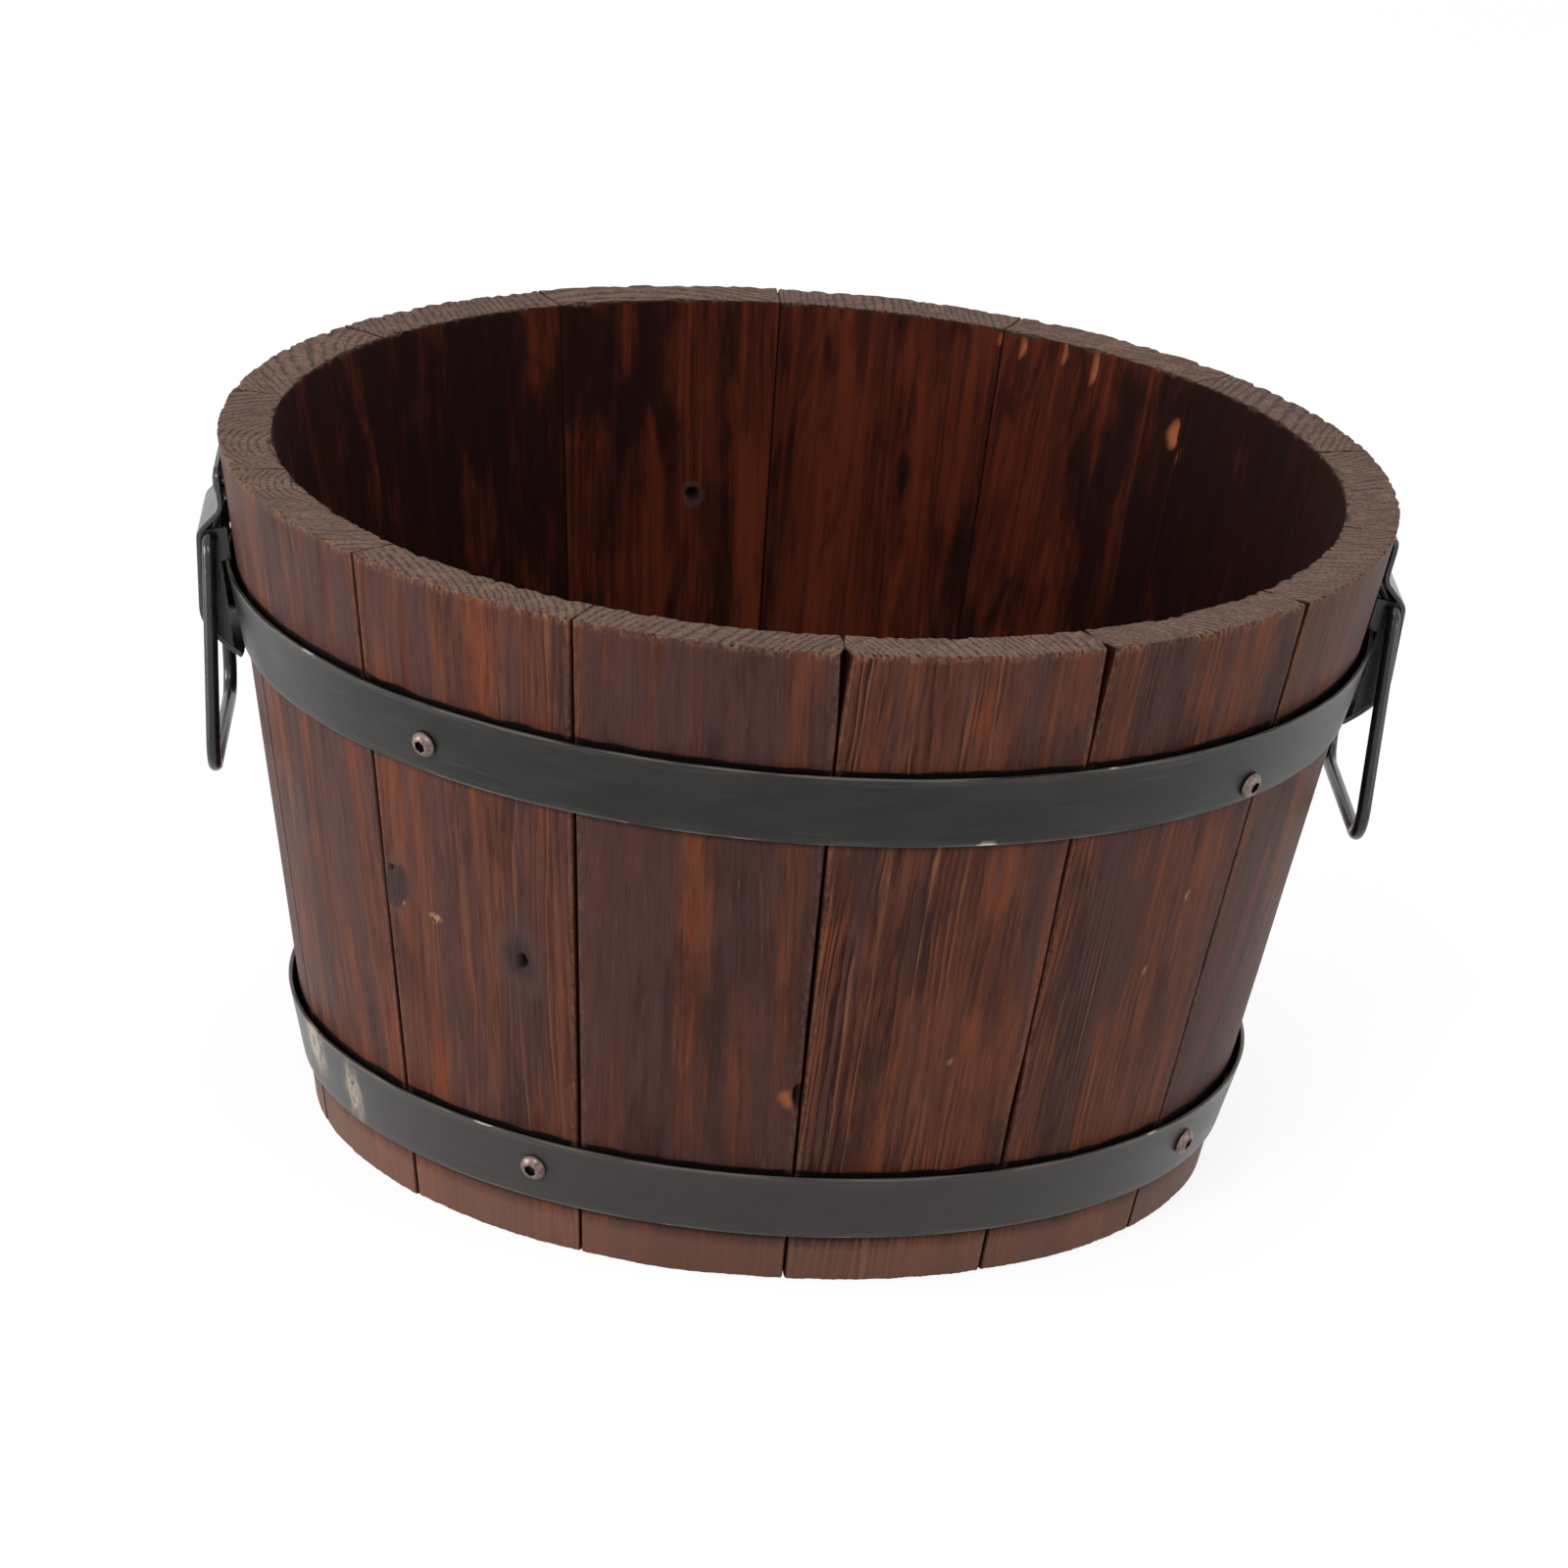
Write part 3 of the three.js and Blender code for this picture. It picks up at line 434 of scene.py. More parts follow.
def scorched_wood():
    f = Finish("scorched_wood")
    board = f.place("board")
    inside, end, joint = f.value("inside"), f.value("end"), f.value("joint")
    worn, tone, grey = f.value("worn"), f.value("tone"), f.value("grey")

    # Growth rings: years of different darkness, each ending in a hard line, with tan streaks beside it.
    # They come and go over the face.
    wobble = f.calc("MULTIPLY_ADD", f.noise(board, (9, 130, 9), 3, 0.6), 4.0, f.value("rings"))
    year = f.calc("FRACT", wobble)
    year_number = f.calc("FLOOR", wobble)
    year_shade = f.add("TexWhiteNoise", {"W": year_number}, noise_dimensions="1D").outputs["Value"]
    lined = f.ramp(f.noise(board, (14, 60, 14), 4, 0.6), 0.36, 0.62)
    figure = f.times(f.value("lines"), lined)
    hard_line = f.times(f.ramp(year, 0.45, 0.86), f.ramp(year, 1.0, 0.92))
    tan_streak = f.times(f.ramp(year, 0.0, 0.14), f.ramp(year, 0.46, 0.18))
    fibre = f.noise(board, (0.5, 14, 0.5), 5, 0.75)
    streak = f.noise(board, (1.9, 60, 1.9), 4, 0.65)
    band = f.noise(board, (11, 210, 11), 3, 0.5)
    warmth = f.noise(board, (9, 60, 9), 4, 0.6, 0.4)
    scorch = f.noise(board, (14, 65, 14), 5, 0.6, 0.3)

    # Outside: brown, with purple-grey bands, rusty patches and large dark scorched ones.
    brown = f.mix(f.ramp(streak, 0.32, 0.7), colour(70, 38, 30), colour(94, 57, 43))
    brown = f.mix(f.ramp(warmth, 0.44, 0.7), brown, colour(112, 58, 36), 0.75)
    grey_share = f.times(f.ramp(f.calc("MULTIPLY_ADD", grey, 0.22, band), 0.54, 0.7), 0.75)
    brown = f.mix(grey_share, brown, colour(64, 45, 45))
    brown = f.mix(f.times(year_shade, figure), brown, colour(56, 29, 22), 0.5)
    tan_years = f.ramp(f.calc("MULTIPLY_ADD", streak, 0.6, year_shade), 0.6, 1.1)
    tan_share = f.times(tan_streak, tan_years)
    brown = f.mix(f.times(tan_share, f.times(figure, 0.75)), brown, colour(128, 83, 57))
    brown = f.mix(f.times(hard_line, f.times(figure, 0.8)), brown, colour(40, 19, 15))
    brown = f.mix(f.ramp(scorch, 0.48, 0.66), brown, colour(45, 26, 24), 0.62)
    brown = f.mix(f.ramp(fibre, 0.53, 0.74), brown, colour(118, 78, 58), 0.45)
    brown = f.mix(f.ramp(fibre, 0.47, 0.28), brown, colour(36, 18, 15), 0.6)
    # Painted light from the floor: the foot is painted lighter.
    brown = f.mix(f.value("dust"), brown, colour(128, 94, 80), 0.45)
    # Painted shade: the wood above each hoop is painted near black for the shadowed gap.
    brown = f.mix(f.value("paint"), brown, colour(14, 10, 10))

    # Inside: rust red where the scorched skin is thin, black-purple stains, and drips from the rim. Painted
    # shade darkens it towards the right side, and less towards the left.
    red = f.mix(f.ramp(streak, 0.34, 0.66), colour(48, 16, 10), colour(84, 33, 17))
    red = f.mix(f.ramp(band, 0.46, 0.7), red, colour(98, 40, 20), 0.7)
    red = f.mix(f.ramp(fibre, 0.54, 0.76), red, colour(112, 54, 30), 0.35)
    red = f.mix(f.ramp(warmth, 0.5, 0.36), red, colour(38, 13, 10), 0.7)
    # Real stains come from the noise, and painted shade darkens the inside towards the right and left.
    stained = f.calc("MULTIPLY_ADD", f.value("stain"), 0.36, f.noise(board, (15, 70, 15), 4, 0.6, 0.4))
    red = f.mix(f.ramp(stained, 0.47, 0.68), red, colour(16, 3, 3), 0.9)
    wood = f.mix(inside, brown, red)

    # End grain: grey-brown, with the rings showing as lines across it.
    pores = f.noise(board, (0.8, 0.8, 0.8), 3, 0.6)
    end_year = f.calc("FRACT", f.calc("MULTIPLY_ADD", f.noise(board, (7, 130, 7), 2), 0.7, f.value("rings")))
    end_line = f.times(f.ramp(end_year, 0.45, 0.8), f.ramp(end_year, 1.0, 0.9))
    end_grain = f.mix(f.ramp(pores, 0.35, 0.7), colour(74, 51, 42), colour(120, 91, 78))
    end_grain = f.mix(end_line, end_grain, colour(36, 20, 15))
    end_grain = f.mix(f.ramp(scorch, 0.46, 0.66), end_grain, colour(58, 37, 30), 0.5)
    wood = f.mix(f.ramp(end, 0.35, 0.85), wood, end_grain)
    inner_edge = f.times(f.ramp(inside, 0.1, 0.5), f.ramp(end, 0.2, 0.6))
    wood = f.mix(inner_edge, wood, colour(32, 15, 11), 0.8)
    rubbed = f.times(worn, f.ramp(f.noise(board, (1.4, 3, 1.4), 4, 0.65), 0.42, 0.6))
    wood = f.mix(rubbed, wood, colour(142, 108, 86), 0.55)

    # Joints, knots and breaks.
    wood = f.mix(joint, wood, colour(40, 17, 14))
    knot = f.value("knot")
    wood = f.mix(f.ramp(knot, 0.0, 0.4), wood, colour(74, 58, 54), 0.4)
    wood = f.mix(f.times(f.ramp(knot, 0.3, 0.9), f.ramp(fibre, 0.3, 0.55)), wood, colour(44, 35, 35))
    wood = f.mix(f.value("raw"), wood, colour(146, 84, 52))
    torn = f.times(f.value("fleck"), f.ramp(f.noise(board, (1.1, 2.2, 1.1), 3, 0.6), 0.36, 0.56))
    wood = f.mix(torn, wood, colour(158, 118, 90), 0.85)
    # Painted shade: knot and chip holes are painted near black.
    wood = f.mix(f.value("hole"), wood, colour(8, 5, 5))
    toned = f.add("CombineColor", {"Red": tone, "Green": tone, "Blue": tone}).outputs[0]
    wood = f.mix(1.0, wood, toned, way="MULTIPLY")

    rough = f.calc("MULTIPLY_ADD", inside, 0.25, f.calc("MULTIPLY_ADD", fibre, 0.2, 0.36))
    height = f.calc("MULTIPLY_ADD", hard_line, f.times(figure, 0.5), fibre)
    height = f.calc("MULTIPLY_ADD", f.times(end, end_line), 0.5, height)
    height = f.calc("MULTIPLY_ADD", f.noise(board, (3, 14, 3), 3, 0.6), 0.8, height)
    return f.surface(wood, rough, f.bump(height, 0.3), 0.07)


wood_finish = scorched_wood()
for stave_number in range(1, STAVE_COUNT + 1):
    make_stave(stave_number).data.materials.append(wood_finish)

# ---------- Base ----------
# Five boards of the same softwood, left rough from the saw and pushed into the croze, with five
# drilled drain holes. Two battens run across underneath, screwed up into each board.
BASE_RISE = 20
BOARD_THICKNESS = 12
BOARD_COUNT = 5
BOARD_GAP = 0.6
BASE_RADIUS = 151.2
BATTEN_LOW, BATTEN_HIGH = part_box("base_batten_2")
DRAIN_HOLES = [[0, 0], [-26.5, -60.5], [26.5, -60.5], [-26.5, 60.5], [26.5, 60.5]]
DRAIN_RADIUS = 6
SAWN_ROUND = 0.7


def sawn_block(name, first, second, third, half_length, seed):
    """A sawn board along X with rounded corners, a rough face, and ends that follow half_length(y)."""
    places, quads = block_shell(first, second, third)
    length = half_length(places[:, 1])
    places[:, 0] *= length
    low = np.stack([-length, 0 * length + second[0], 0 * length + third[0]], 1)
    high = np.stack([length, 0 * length + second[-1], 0 * length + third[-1]], 1)
    places, way_out = round_corners(places, low, high, SAWN_ROUND)
    rough = 0.12 * uneven(places, (70, 3, 20), seed) - 0.13
    return new_mesh_piece(name, places + way_out * rough[:, None], quads)


def round_end(y):
    return np.sqrt(np.maximum(BASE_RADIUS ** 2 - y ** 2, 30))


def ring_skin(rings, closed):
    """The skin over rings of points: joined round on itself, or with a flat cap at each end."""
    count, sides = rings.shape[:2]
    index = np.arange(count * sides).reshape(count, sides)
    after = np.roll(index, -1, axis=0) if closed else index[1:]
    before = index if closed else index[:-1]
    quads = np.stack([before, np.roll(before, -1, 1), np.roll(after, -1, 1), after], -1).reshape(-1, 4)
    faces = quads.tolist()
    if not closed:
        faces += [index[0][::-1].tolist(), index[-1].tolist()]
    return rings.reshape(-1, 3), faces


def drill(piece, holes, radius, depth, bottom):
    """Cuts round holes down through a board with a boolean of one drill for each hole."""
    for x, y in holes:
        angles = np.linspace(0, 2 * math.pi, 32, endpoint=False)
        rings = [[[x + radius * math.cos(a), y + radius * math.sin(a), z] for a in angles]
                 for z in (bottom - depth, bottom + 2 * depth)]
        drill_bit = new_mesh_piece("drill", *ring_skin(np.array(rings), closed=False))
        cut = piece.modifiers.new("drain", "BOOLEAN")
        cut.object = drill_bit
        evaluated = piece.evaluated_get(bpy.context.evaluated_depsgraph_get())
        drilled = bpy.data.meshes.new_from_object(evaluated)
        piece.modifiers.clear()
        piece.data = drilled
        bpy.data.objects.remove(drill_bit)


def rough_sawn_wood():
    f = Finish("rough_sawn_wood")
    place = f.stretch(f.object_place(), (MM, MM, MM))
    along = f.noise(place, (130, 3.2, 9), 4, 0.6)
    fibre = f.noise(place, (22, 0.7, 0.7), 3, 0.6)
    patch = f.noise(place, (45, 30, 30), 3, 0.5)
    wood = f.mix(f.ramp(along, 0.35, 0.68), colour(48, 22, 15), colour(92, 46, 28))
    wood = f.mix(f.ramp(fibre, 0.5, 0.75), wood, colour(122, 72, 48), 0.4)
    wood = f.mix(f.ramp(patch, 0.48, 0.7), wood, colour(37, 20, 18), 0.6)
    rough = f.calc("MULTIPLY_ADD", fibre, 0.2, 0.62)
    return f.surface(wood, rough, f.bump(f.calc("ADD", fibre, along), 0.5), 0.25)


board_finish = rough_sawn_wood()
board_pitch = 2 * BASE_RADIUS / BOARD_COUNT
for board_number in range(1, BOARD_COUNT + 1):
    board_low = (board_number - 1) * board_pitch - BASE_RADIUS + BOARD_GAP / 2
    board_high = board_low + board_pitch - BOARD_GAP
    board_lines = board_low + ruled(board_high - board_low, 3, CORNER_STEPS)
    base_board = sawn_block(
        f"wood_base_board_{board_number}", ruled(2, 0.03, [0, 0.004, 0.01, 0.02]) - 1, board_lines,
        BASE_RISE + ruled(BOARD_THICKNESS, 2, CORNER_STEPS[:4]), round_end, 300 + board_number)
    drill(base_board, [h for h in DRAIN_HOLES if board_low < h[1] < board_high], DRAIN_RADIUS,
          BOARD_THICKNESS, BASE_RISE)
    base_board.data.materials.append(board_finish)
    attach(base_board, "tub")
    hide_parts(f"base_board_{board_number}")

# A batten is made lying along X like a board, then turned to run across the boards.
batten_size = (BATTEN_HIGH - BATTEN_LOW) / MM
for batten_number, batten_side in ((1, -1), (2, 1)):
    batten = sawn_block(
        f"wood_base_batten_{batten_number}", ruled(2, 0.03, [0, 0.004, 0.01, 0.02]) - 1,
        ruled(batten_size.x, 3, CORNER_STEPS) - batten_size.x / 2,
        BATTEN_LOW.z / MM + ruled(batten_size.z, 2, CORNER_STEPS[:4]),
        lambda y: 0 * y + batten_size.y / 2, 310 + batten_number)
    batten.data.transform(Matrix.Translation((batten_side * (BATTEN_LOW.x + BATTEN_HIGH.x) / 2, 0, 0))
                          @ Matrix.Rotation(math.pi / 2, 4, "Z"))
    batten.data.materials.append(board_finish)
    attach(batten, "tub")
    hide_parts(f"base_batten_{batten_number}")

# ---------- Hoops ----------
# Two flat strips of mild steel, rolled round the tub, with their ends lapped and riveted at the back.
# They are painted a dull grey-green black, and rubbed and nicked bright along the edges.
HOOP_THICKNESS = 1.6
HOOP_CLEARANCE = 0.35
HOOP_FLARE = 1.8  # the upper edge stands this much further off the wood than the lower one
HOOP_STEP = 0.9  # degrees between the mesh's lines
HOOP_ROUND = 0.35
LAP_LENGTH = 46
LAP_RAMP = 16
LAP_LIFT = 1.9

# For each hoop: [height of its lower edge, width, azimuth of the lap].
HOOPS = {"upper": [174.2, 26.9, 104.36], "lower": [18.4, 24.5, 78.64]}
# Bright nicks on an edge: [azimuth, half length in mm, share of the width at which it lies].
NICK_HALF_HEIGHT = 0.5
NICK_DEPTH = 0.15
NICKS = {
    "upper": [[-72.5, 5, 0.02], [-97, 4, 0.0], [-109, 3, 0.0], [-148, 3, 1.0], [-60, 2, 1.0], [-20, 4, 0.0],
              [30, 6, 1.0], [75, 4, 0.0], [140, 5, 1.0], [170, 3, 0.0]],
    "lower": [[-126.5, 4, 1.0], [-103, 3, 0.0], [-81.8, 4, 0.0], [-40, 3, 1.0], [10, 5, 1.0], [60, 4, 0.0],
              [120, 5, 1.0], [165, 3, 0.0]],
}
SCUFF_HALF_HEIGHT = 14
SCUFFS = {"upper": [], "lower": [[-161, 11, 0.75], [-150.5, 7, 0.45]]}


def make_hoop(name):
    bottom, width, lap_azimuth = HOOPS[name]
    middle_radius = wall_radius(bottom + width / 2)
    lap_turn = math.degrees(LAP_LENGTH / middle_radius)
    ramp_turn = math.degrees(LAP_RAMP / middle_radius)
    start = lap_azimuth - lap_turn / 2
    full = 360 + lap_turn
    shares = ruled(full, HOOP_STEP, [0, 0.06, 0.13, 0.25, 0.5]) / full
    places, quads = block_shell(shares * full * math.radians(middle_radius),
                                ruled(width, 2.4, [0, 0.12, 0.26, 0.45, 0.9]),
                                np.array([0, 0.12, 0.35, 0.8, 1.25, 1.48, 1.6]))
    size = np.array([full * math.radians(middle_radius), width, HOOP_THICKNESS])
    strip = places.copy()
    nick = np.zeros(len(places))
    scuff = np.zeros(len(places))
    for found, marks, half_height in ((nick, NICKS[name], NICK_HALF_HEIGHT),
                                      (scuff, SCUFFS[name], SCUFF_HALF_HEIGHT)):
        for azimuth, half_length, share in marks:
            along = ((azimuth - start) % 360) * math.radians(middle_radius)
            reach = np.hypot((places[:, 0] - along) / half_length,
                             (places[:, 1] - share * width) / half_height)
            found[:] = np.maximum(found, np.clip(1.6 - 1.6 * reach, 0, 1))
    places, way_out = round_corners(places, np.zeros(3), size, HOOP_ROUND)
    places -= way_out * (NICK_DEPTH * nick + 0.04)[:, None]
    angle = np.radians(start) + places[:, 0] / middle_radius
    climb = np.clip((places[:, 0] / size[0] * full - (360 - ramp_turn / 4) + ramp_turn) / ramp_turn, 0, 1)
    climb = climb * climb * (3 - 2 * climb) * LAP_LIFT
    round_hoop = np.stack([np.cos(angle), np.sin(angle), places[:, 1] / 60], 1)
    sway = 0.12 * uneven(round_hoop, 0.5, len(name) + int(bottom))
    up = bottom + places[:, 1]
    reach = wall_radius(up) + HOOP_CLEARANCE + HOOP_FLARE * places[:, 1] / width + places[:, 2] + climb
    reach += sway * places[:, 1] / width - 0.05
    piece = new_mesh_piece(f"steel_{name}_hoop",
                           np.stack([reach * np.cos(angle), reach * np.sin(angle), up], 1), quads)
    edge = np.minimum(strip[:, 1], width - strip[:, 1])
    add_values(piece, strip=strip + [0, 500.0 * len(name), 0], nick=nick, scuff=scuff,
               # painted light from the floor: the lower hoop is painted lighter
               dust=0 * scuff + (name == "lower"),
               edge=np.clip(1 - edge / 1.1, 0, 1))
    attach(piece, "tub")
    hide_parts(f"{name}_hoop")
    return piece


def dull_paint_on_steel():
    f = Finish("dull_paint_on_steel")
    strip = f.place("strip")
    cloud = f.noise(strip, (34, 12, 12), 4, 0.6)
    speck = f.noise(strip, (1.1, 1.1, 1.1), 2, 0.6)
    rub = f.noise(strip, (26, 1.3, 1.3), 3, 0.6)
    steel = f.mix(f.ramp(cloud, 0.34, 0.68), colour(22, 22, 21), colour(34, 32, 31))
    steel = f.mix(f.ramp(rub, 0.56, 0.78), steel, colour(66, 62, 58), 0.35)
    steel = f.mix(f.ramp(speck, 0.62, 0.78), steel, colour(62, 44, 36), 0.3)
    # Painted light from the floor, on the lower hoop only.
    steel = f.mix(f.value("dust"), steel, colour(66, 63, 62), 0.45)
    worn_edge = f.times(f.value("edge"), f.ramp(rub, 0.36, 0.6))
    steel = f.mix(worn_edge, steel, colour(112, 107, 101), 0.7)
    scuffed = f.times(f.value("scuff"), f.ramp(f.noise(strip, (3, 9, 3), 4, 0.7), 0.36, 0.5))
    steel = f.mix(scuffed, steel, colour(150, 136, 116))
    steel = f.mix(f.ramp(f.value("nick"), 0.1, 0.6), steel, colour(186, 181, 173), 0.95)
    rough = f.calc("MULTIPLY_ADD", cloud, 0.25, 0.24)
    height = f.calc("MULTIPLY_ADD", rub, 0.4, speck)
    return f.surface(steel, rough, f.bump(height, 0.08), 0.26)


strip_finish = dull_paint_on_steel()
for hoop_name in HOOPS:
    make_hoop(hoop_name).data.materials.append(strip_finish)

# ---------- Rivets ----------
# A lap is closed by two soft steel rivets with low domed heads, painted over with the strip.
RIVET_PITCH = 22
PIECE_GAP = 0.3  # between a piece and what it lies on
RIVET_PROFILE = [[-4.9, 0.6], [-4.9, 3.1], [-4.65, 3.4], [-4.1, 3.4], [-4.1, 2.0], [0.3, 2.0], [0.3, 3.8],
                 [0.45, 4.1], [0.8, 4.15], [1.25, 3.7], [1.7, 3.0], [2.05, 2.0], [2.22, 1.0], [2.27, 0.3]]
ROUND_SIDES = 36


def turned_piece(name, profile, frame_matrix, socket=0):
    """Turns a profile of [outward, radius] about X. Its last `socket` rings have six sides."""
    angles = np.linspace(0, 2 * math.pi, ROUND_SIDES, endpoint=False)
    six = math.cos(math.pi / 6) / np.cos((angles + math.pi / 6) % (math.pi / 3) - math.pi / 6)
    rings = []
    for i, (out, radius) in enumerate(profile):
        radii = radius * (six if i >= len(profile) - socket else 1 + 0 * six)
        rings.append(np.stack([0 * angles + out, radii * np.cos(angles), radii * np.sin(angles)], 1))
    piece = new_mesh_piece(name, *ring_skin(np.array(rings), closed=False))
    piece.data.transform(frame_matrix)
    piece.data.set_sharp_from_angle(angle=math.radians(50))
    return piece


def wall_frame(azimuth, height, stand_off, lean=0.0, across=0.0, up=0.0):
    """The frame on the wall: X straight out of the wood, Y round the tub, Z up the slope, in metres."""
    return (
        Matrix.Rotation(math.radians(azimuth), 4, "Z")
        @ Matrix.Translation((wall_radius(height) * MM, 0, height * MM))
        @ Matrix.Rotation(WALL_SLOPE, 4, "Y")
        @ Matrix.Translation((stand_off * MM, across * MM, up * MM))
        @ Matrix.Rotation(lean, 4, "Y")
    )


def hoop_frame(name, azimuth, above_middle, lift=0.0):
    """The frame on a hoop's outer face, above or below the middle of the strip."""
    bottom, width, _ = HOOPS[name]
    face = PIECE_GAP + HOOP_FLARE * (0.5 + above_middle / width) + HOOP_THICKNESS + lift
    return wall_frame(azimuth, bottom + width / 2 + above_middle, face, math.atan(HOOP_FLARE / width))


for hoop_name, (hoop_bottom, hoop_width, hoop_lap) in HOOPS.items():
    rivet_turn = math.degrees(RIVET_PITCH / 2 / wall_radius(hoop_bottom + hoop_width / 2))
    for rivet_number, rivet_side in ((1, -1), (2, 1)):
        rivet = turned_piece(f"steel_{hoop_name}_hoop_rivet_{rivet_number}", RIVET_PROFILE,
                             hoop_frame(hoop_name, hoop_lap + rivet_side * rivet_turn, 0, LAP_LIFT))
        rivet.data.materials.append(strip_finish)
        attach(rivet, "tub")
        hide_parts(f"{hoop_name}_hoop_rivet_{rivet_number}")

# ---------- Screws ----------
# Button-head screws with a six-sided socket, zinc plated and gone dull pinkish grey, with painted
# shade in the sockets. Four hold each hoop, and longer ones hold the battens.
SCREW_HEAD = [[0.3, 2.0], [0.3, 4.5], [0.5, 4.78], [0.95, 4.75], [1.55, 4.35], [2.15, 3.7], [2.6, 3.0],
              [2.82, 2.55], [2.78, 2.32], [2.5, 2.2], [1.1, 2.15], [1.0, 1.8], [1.0, 0.4]]
WALL_SCREW_LENGTH = 16
BATTEN_SCREW_LENGTH = 21
SCREW_POINT = 4
SOCKET_RINGS = 5
HOOP_SCREWS = {
    "upper": [[-131, -1.6], [-39.9, -6.6], [49.5, -1], [139, 1]],
    "lower": [[-119.7, 1.3], [-31.1, 1.3], [59, -1], [151, 1]],
}


def dull_zinc():
    f = Finish("dull_zinc")
    place = f.stretch(f.object_place(), (MM, MM, MM))
    dirt = f.noise(place, (1.6, 1.6, 1.6), 4, 0.65)
    zinc = f.mix(f.ramp(dirt, 0.35, 0.7), colour(128, 110, 104), colour(88, 70, 64))
    # Painted shade: the socket is painted near black.
    zinc = f.mix(f.value("socket"), zinc, colour(12, 9, 9))
    rough = f.calc("MULTIPLY_ADD", dirt, 0.3, 0.25)
    return f.surface(zinc, rough, f.bump(dirt, 0.06), 0.5, 0.55)


def make_screw(node_name, length, frame_matrix, head, finish):
    profile = [[-length, 0.15], [SCREW_POINT - length, 2.0]] + head
    screw = turned_piece(f"steel_{node_name}", profile, frame_matrix, SOCKET_RINGS)
    ring = np.arange(len(screw.data.vertices)) // ROUND_SIDES
    add_values(screw, socket=(ring >= len(profile) - SOCKET_RINGS + 1).astype(float))
    screw.data.materials.append(finish)
    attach(screw, "tub")
    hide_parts(node_name)


screw_finish = dull_zinc()
for hoop_name, hoop_screws in HOOP_SCREWS.items():
    for i, (screw_azimuth, above_middle) in enumerate(hoop_screws):
        make_screw(f"{hoop_name}_hoop_screw_{i + 1}", WALL_SCREW_LENGTH,
                   hoop_frame(hoop_name, screw_azimuth, above_middle),
                   SCREW_HEAD, screw_finish)
for i in range(2 * BOARD_COUNT):
    screw_low, screw_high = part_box(f"base_screw_{i + 1}")
    screw_middle = (screw_low + screw_high) / 2
    under_batten = Matrix.Translation((screw_middle.x, screw_middle.y, BATTEN_LOW.z))
    make_screw(f"base_screw_{i + 1}", BATTEN_SCREW_LENGTH,
               under_batten @ Matrix.Rotation(math.pi / 2, 4, "Y"),
               SCREW_HEAD, screw_finish)

# ---------- Handle saddles ----------
# A saddle is a pocket of 2 mm sheet steel: it is bent out over the bail's rod, hangs down in line with
# the bail and turns back to the wood, with a flat cheek closing each end. It is blackened, with a
# slight gloss, and two flat screws of the same colour hold its upper tab.
HANDLE_AZIMUTHS = {"right": 2.2, "left": 177.8}
PIVOT_HEIGHT = 209
PIVOT_STAND_OFF = 6.8
BAIL_LEAN = 5.3  # degrees from plumb
SHEET = 2
SADDLE_HALF_WIDTH = 23
SADDLE_TOP = 24.5
SADDLE_CORNER = 4
SADDLE_SHOULDER = 9.5
SADDLE_BEND = 3
SADDLE_BELLY = 26
SADDLE_TURN = 8
SADDLE_FOOT = 45
SHEET_ROUND = 0.45
TAB_OFF = 1.3  # from the wood to the middle of the sheet
KNUCKLE_RADIUS = 3.9  # from the pivot to the middle of the sheet
PIVOT_BORE = 2.9
CHEEK_INSET = 0.25
CHEEK_OFF = 3.95  # from the wood, clear of the hoop
CHEEK_STEP = -9.0  # up to here it lies on the hoop instead of the wood
SADDLE_SCREWS = [[-13, 17, 2.3], [13, 17, 2.3]]  # [across, up, face off the wood]
FLAT_HEAD = [[0.3, 2.0], [0.3, 3.9], [0.42, 4.15], [0.7, 4.15], [1.0, 3.8], [1.25, 3.2], [1.37, 2.6],
             [1.36, 2.35], [1.25, 2.2], [0.7, 2.15], [0.6, 1.8], [0.4, 1.0]]
pivot_out = PIVOT_STAND_OFF * math.cos(WALL_SLOPE)
pivot_up = PIVOT_STAND_OFF * math.sin(WALL_SLOPE)


def unit(ways):
    return ways / np.linalg.norm(ways, axis=-1, keepdims=True)


def lengths_along(line):
    return np.concatenate([[0], np.cumsum(np.linalg.norm(np.diff(line, axis=0), axis=1))])


def read_off(stations, lengths, rows):
    """The rows of a line at the given stations along it."""
    return np.stack([np.interp(stations, lengths, rows[:, i]) for i in (0, 1)], 1)


def rounded_turn(start, corner, stop, steps=12):
    share = np.linspace(0, 1, steps)[:, None]
    return (1 - share) ** 2 * start + 2 * share * (1 - share) * corner + share ** 2 * stop


def saddle_line():
    """The middle of the bent sheet from its top to its foot, as [off the wood, up from the pivot]."""
    pivot = np.array([pivot_out, 0])
    shoulder = np.array([TAB_OFF, SADDLE_SHOULDER])
    across, up = shoulder - pivot
    touch = math.atan2(up, across) - math.acos(KNUCKLE_RADIUS / math.hypot(across, up))
    lean = WALL_SLOPE - math.radians(BAIL_LEAN)
    angles = np.linspace(touch, lean, 16)
    knuckle = pivot + KNUCKLE_RADIUS * np.stack([np.cos(angles), np.sin(angles)], 1)
    to_knuckle = unit(knuckle[0] - shoulder)
    down = np.array([math.sin(lean), -math.cos(lean)])
    belly = knuckle[-1] + SADDLE_BELLY * down
    return np.concatenate([
        [[TAB_OFF, SADDLE_TOP]],
        rounded_turn(shoulder + [0, SADDLE_BEND], shoulder, shoulder + SADDLE_BEND * to_knuckle),
        knuckle,
        rounded_turn(belly, belly + SADDLE_TURN * down, np.array([TAB_OFF, -SADDLE_FOOT])),
    ])


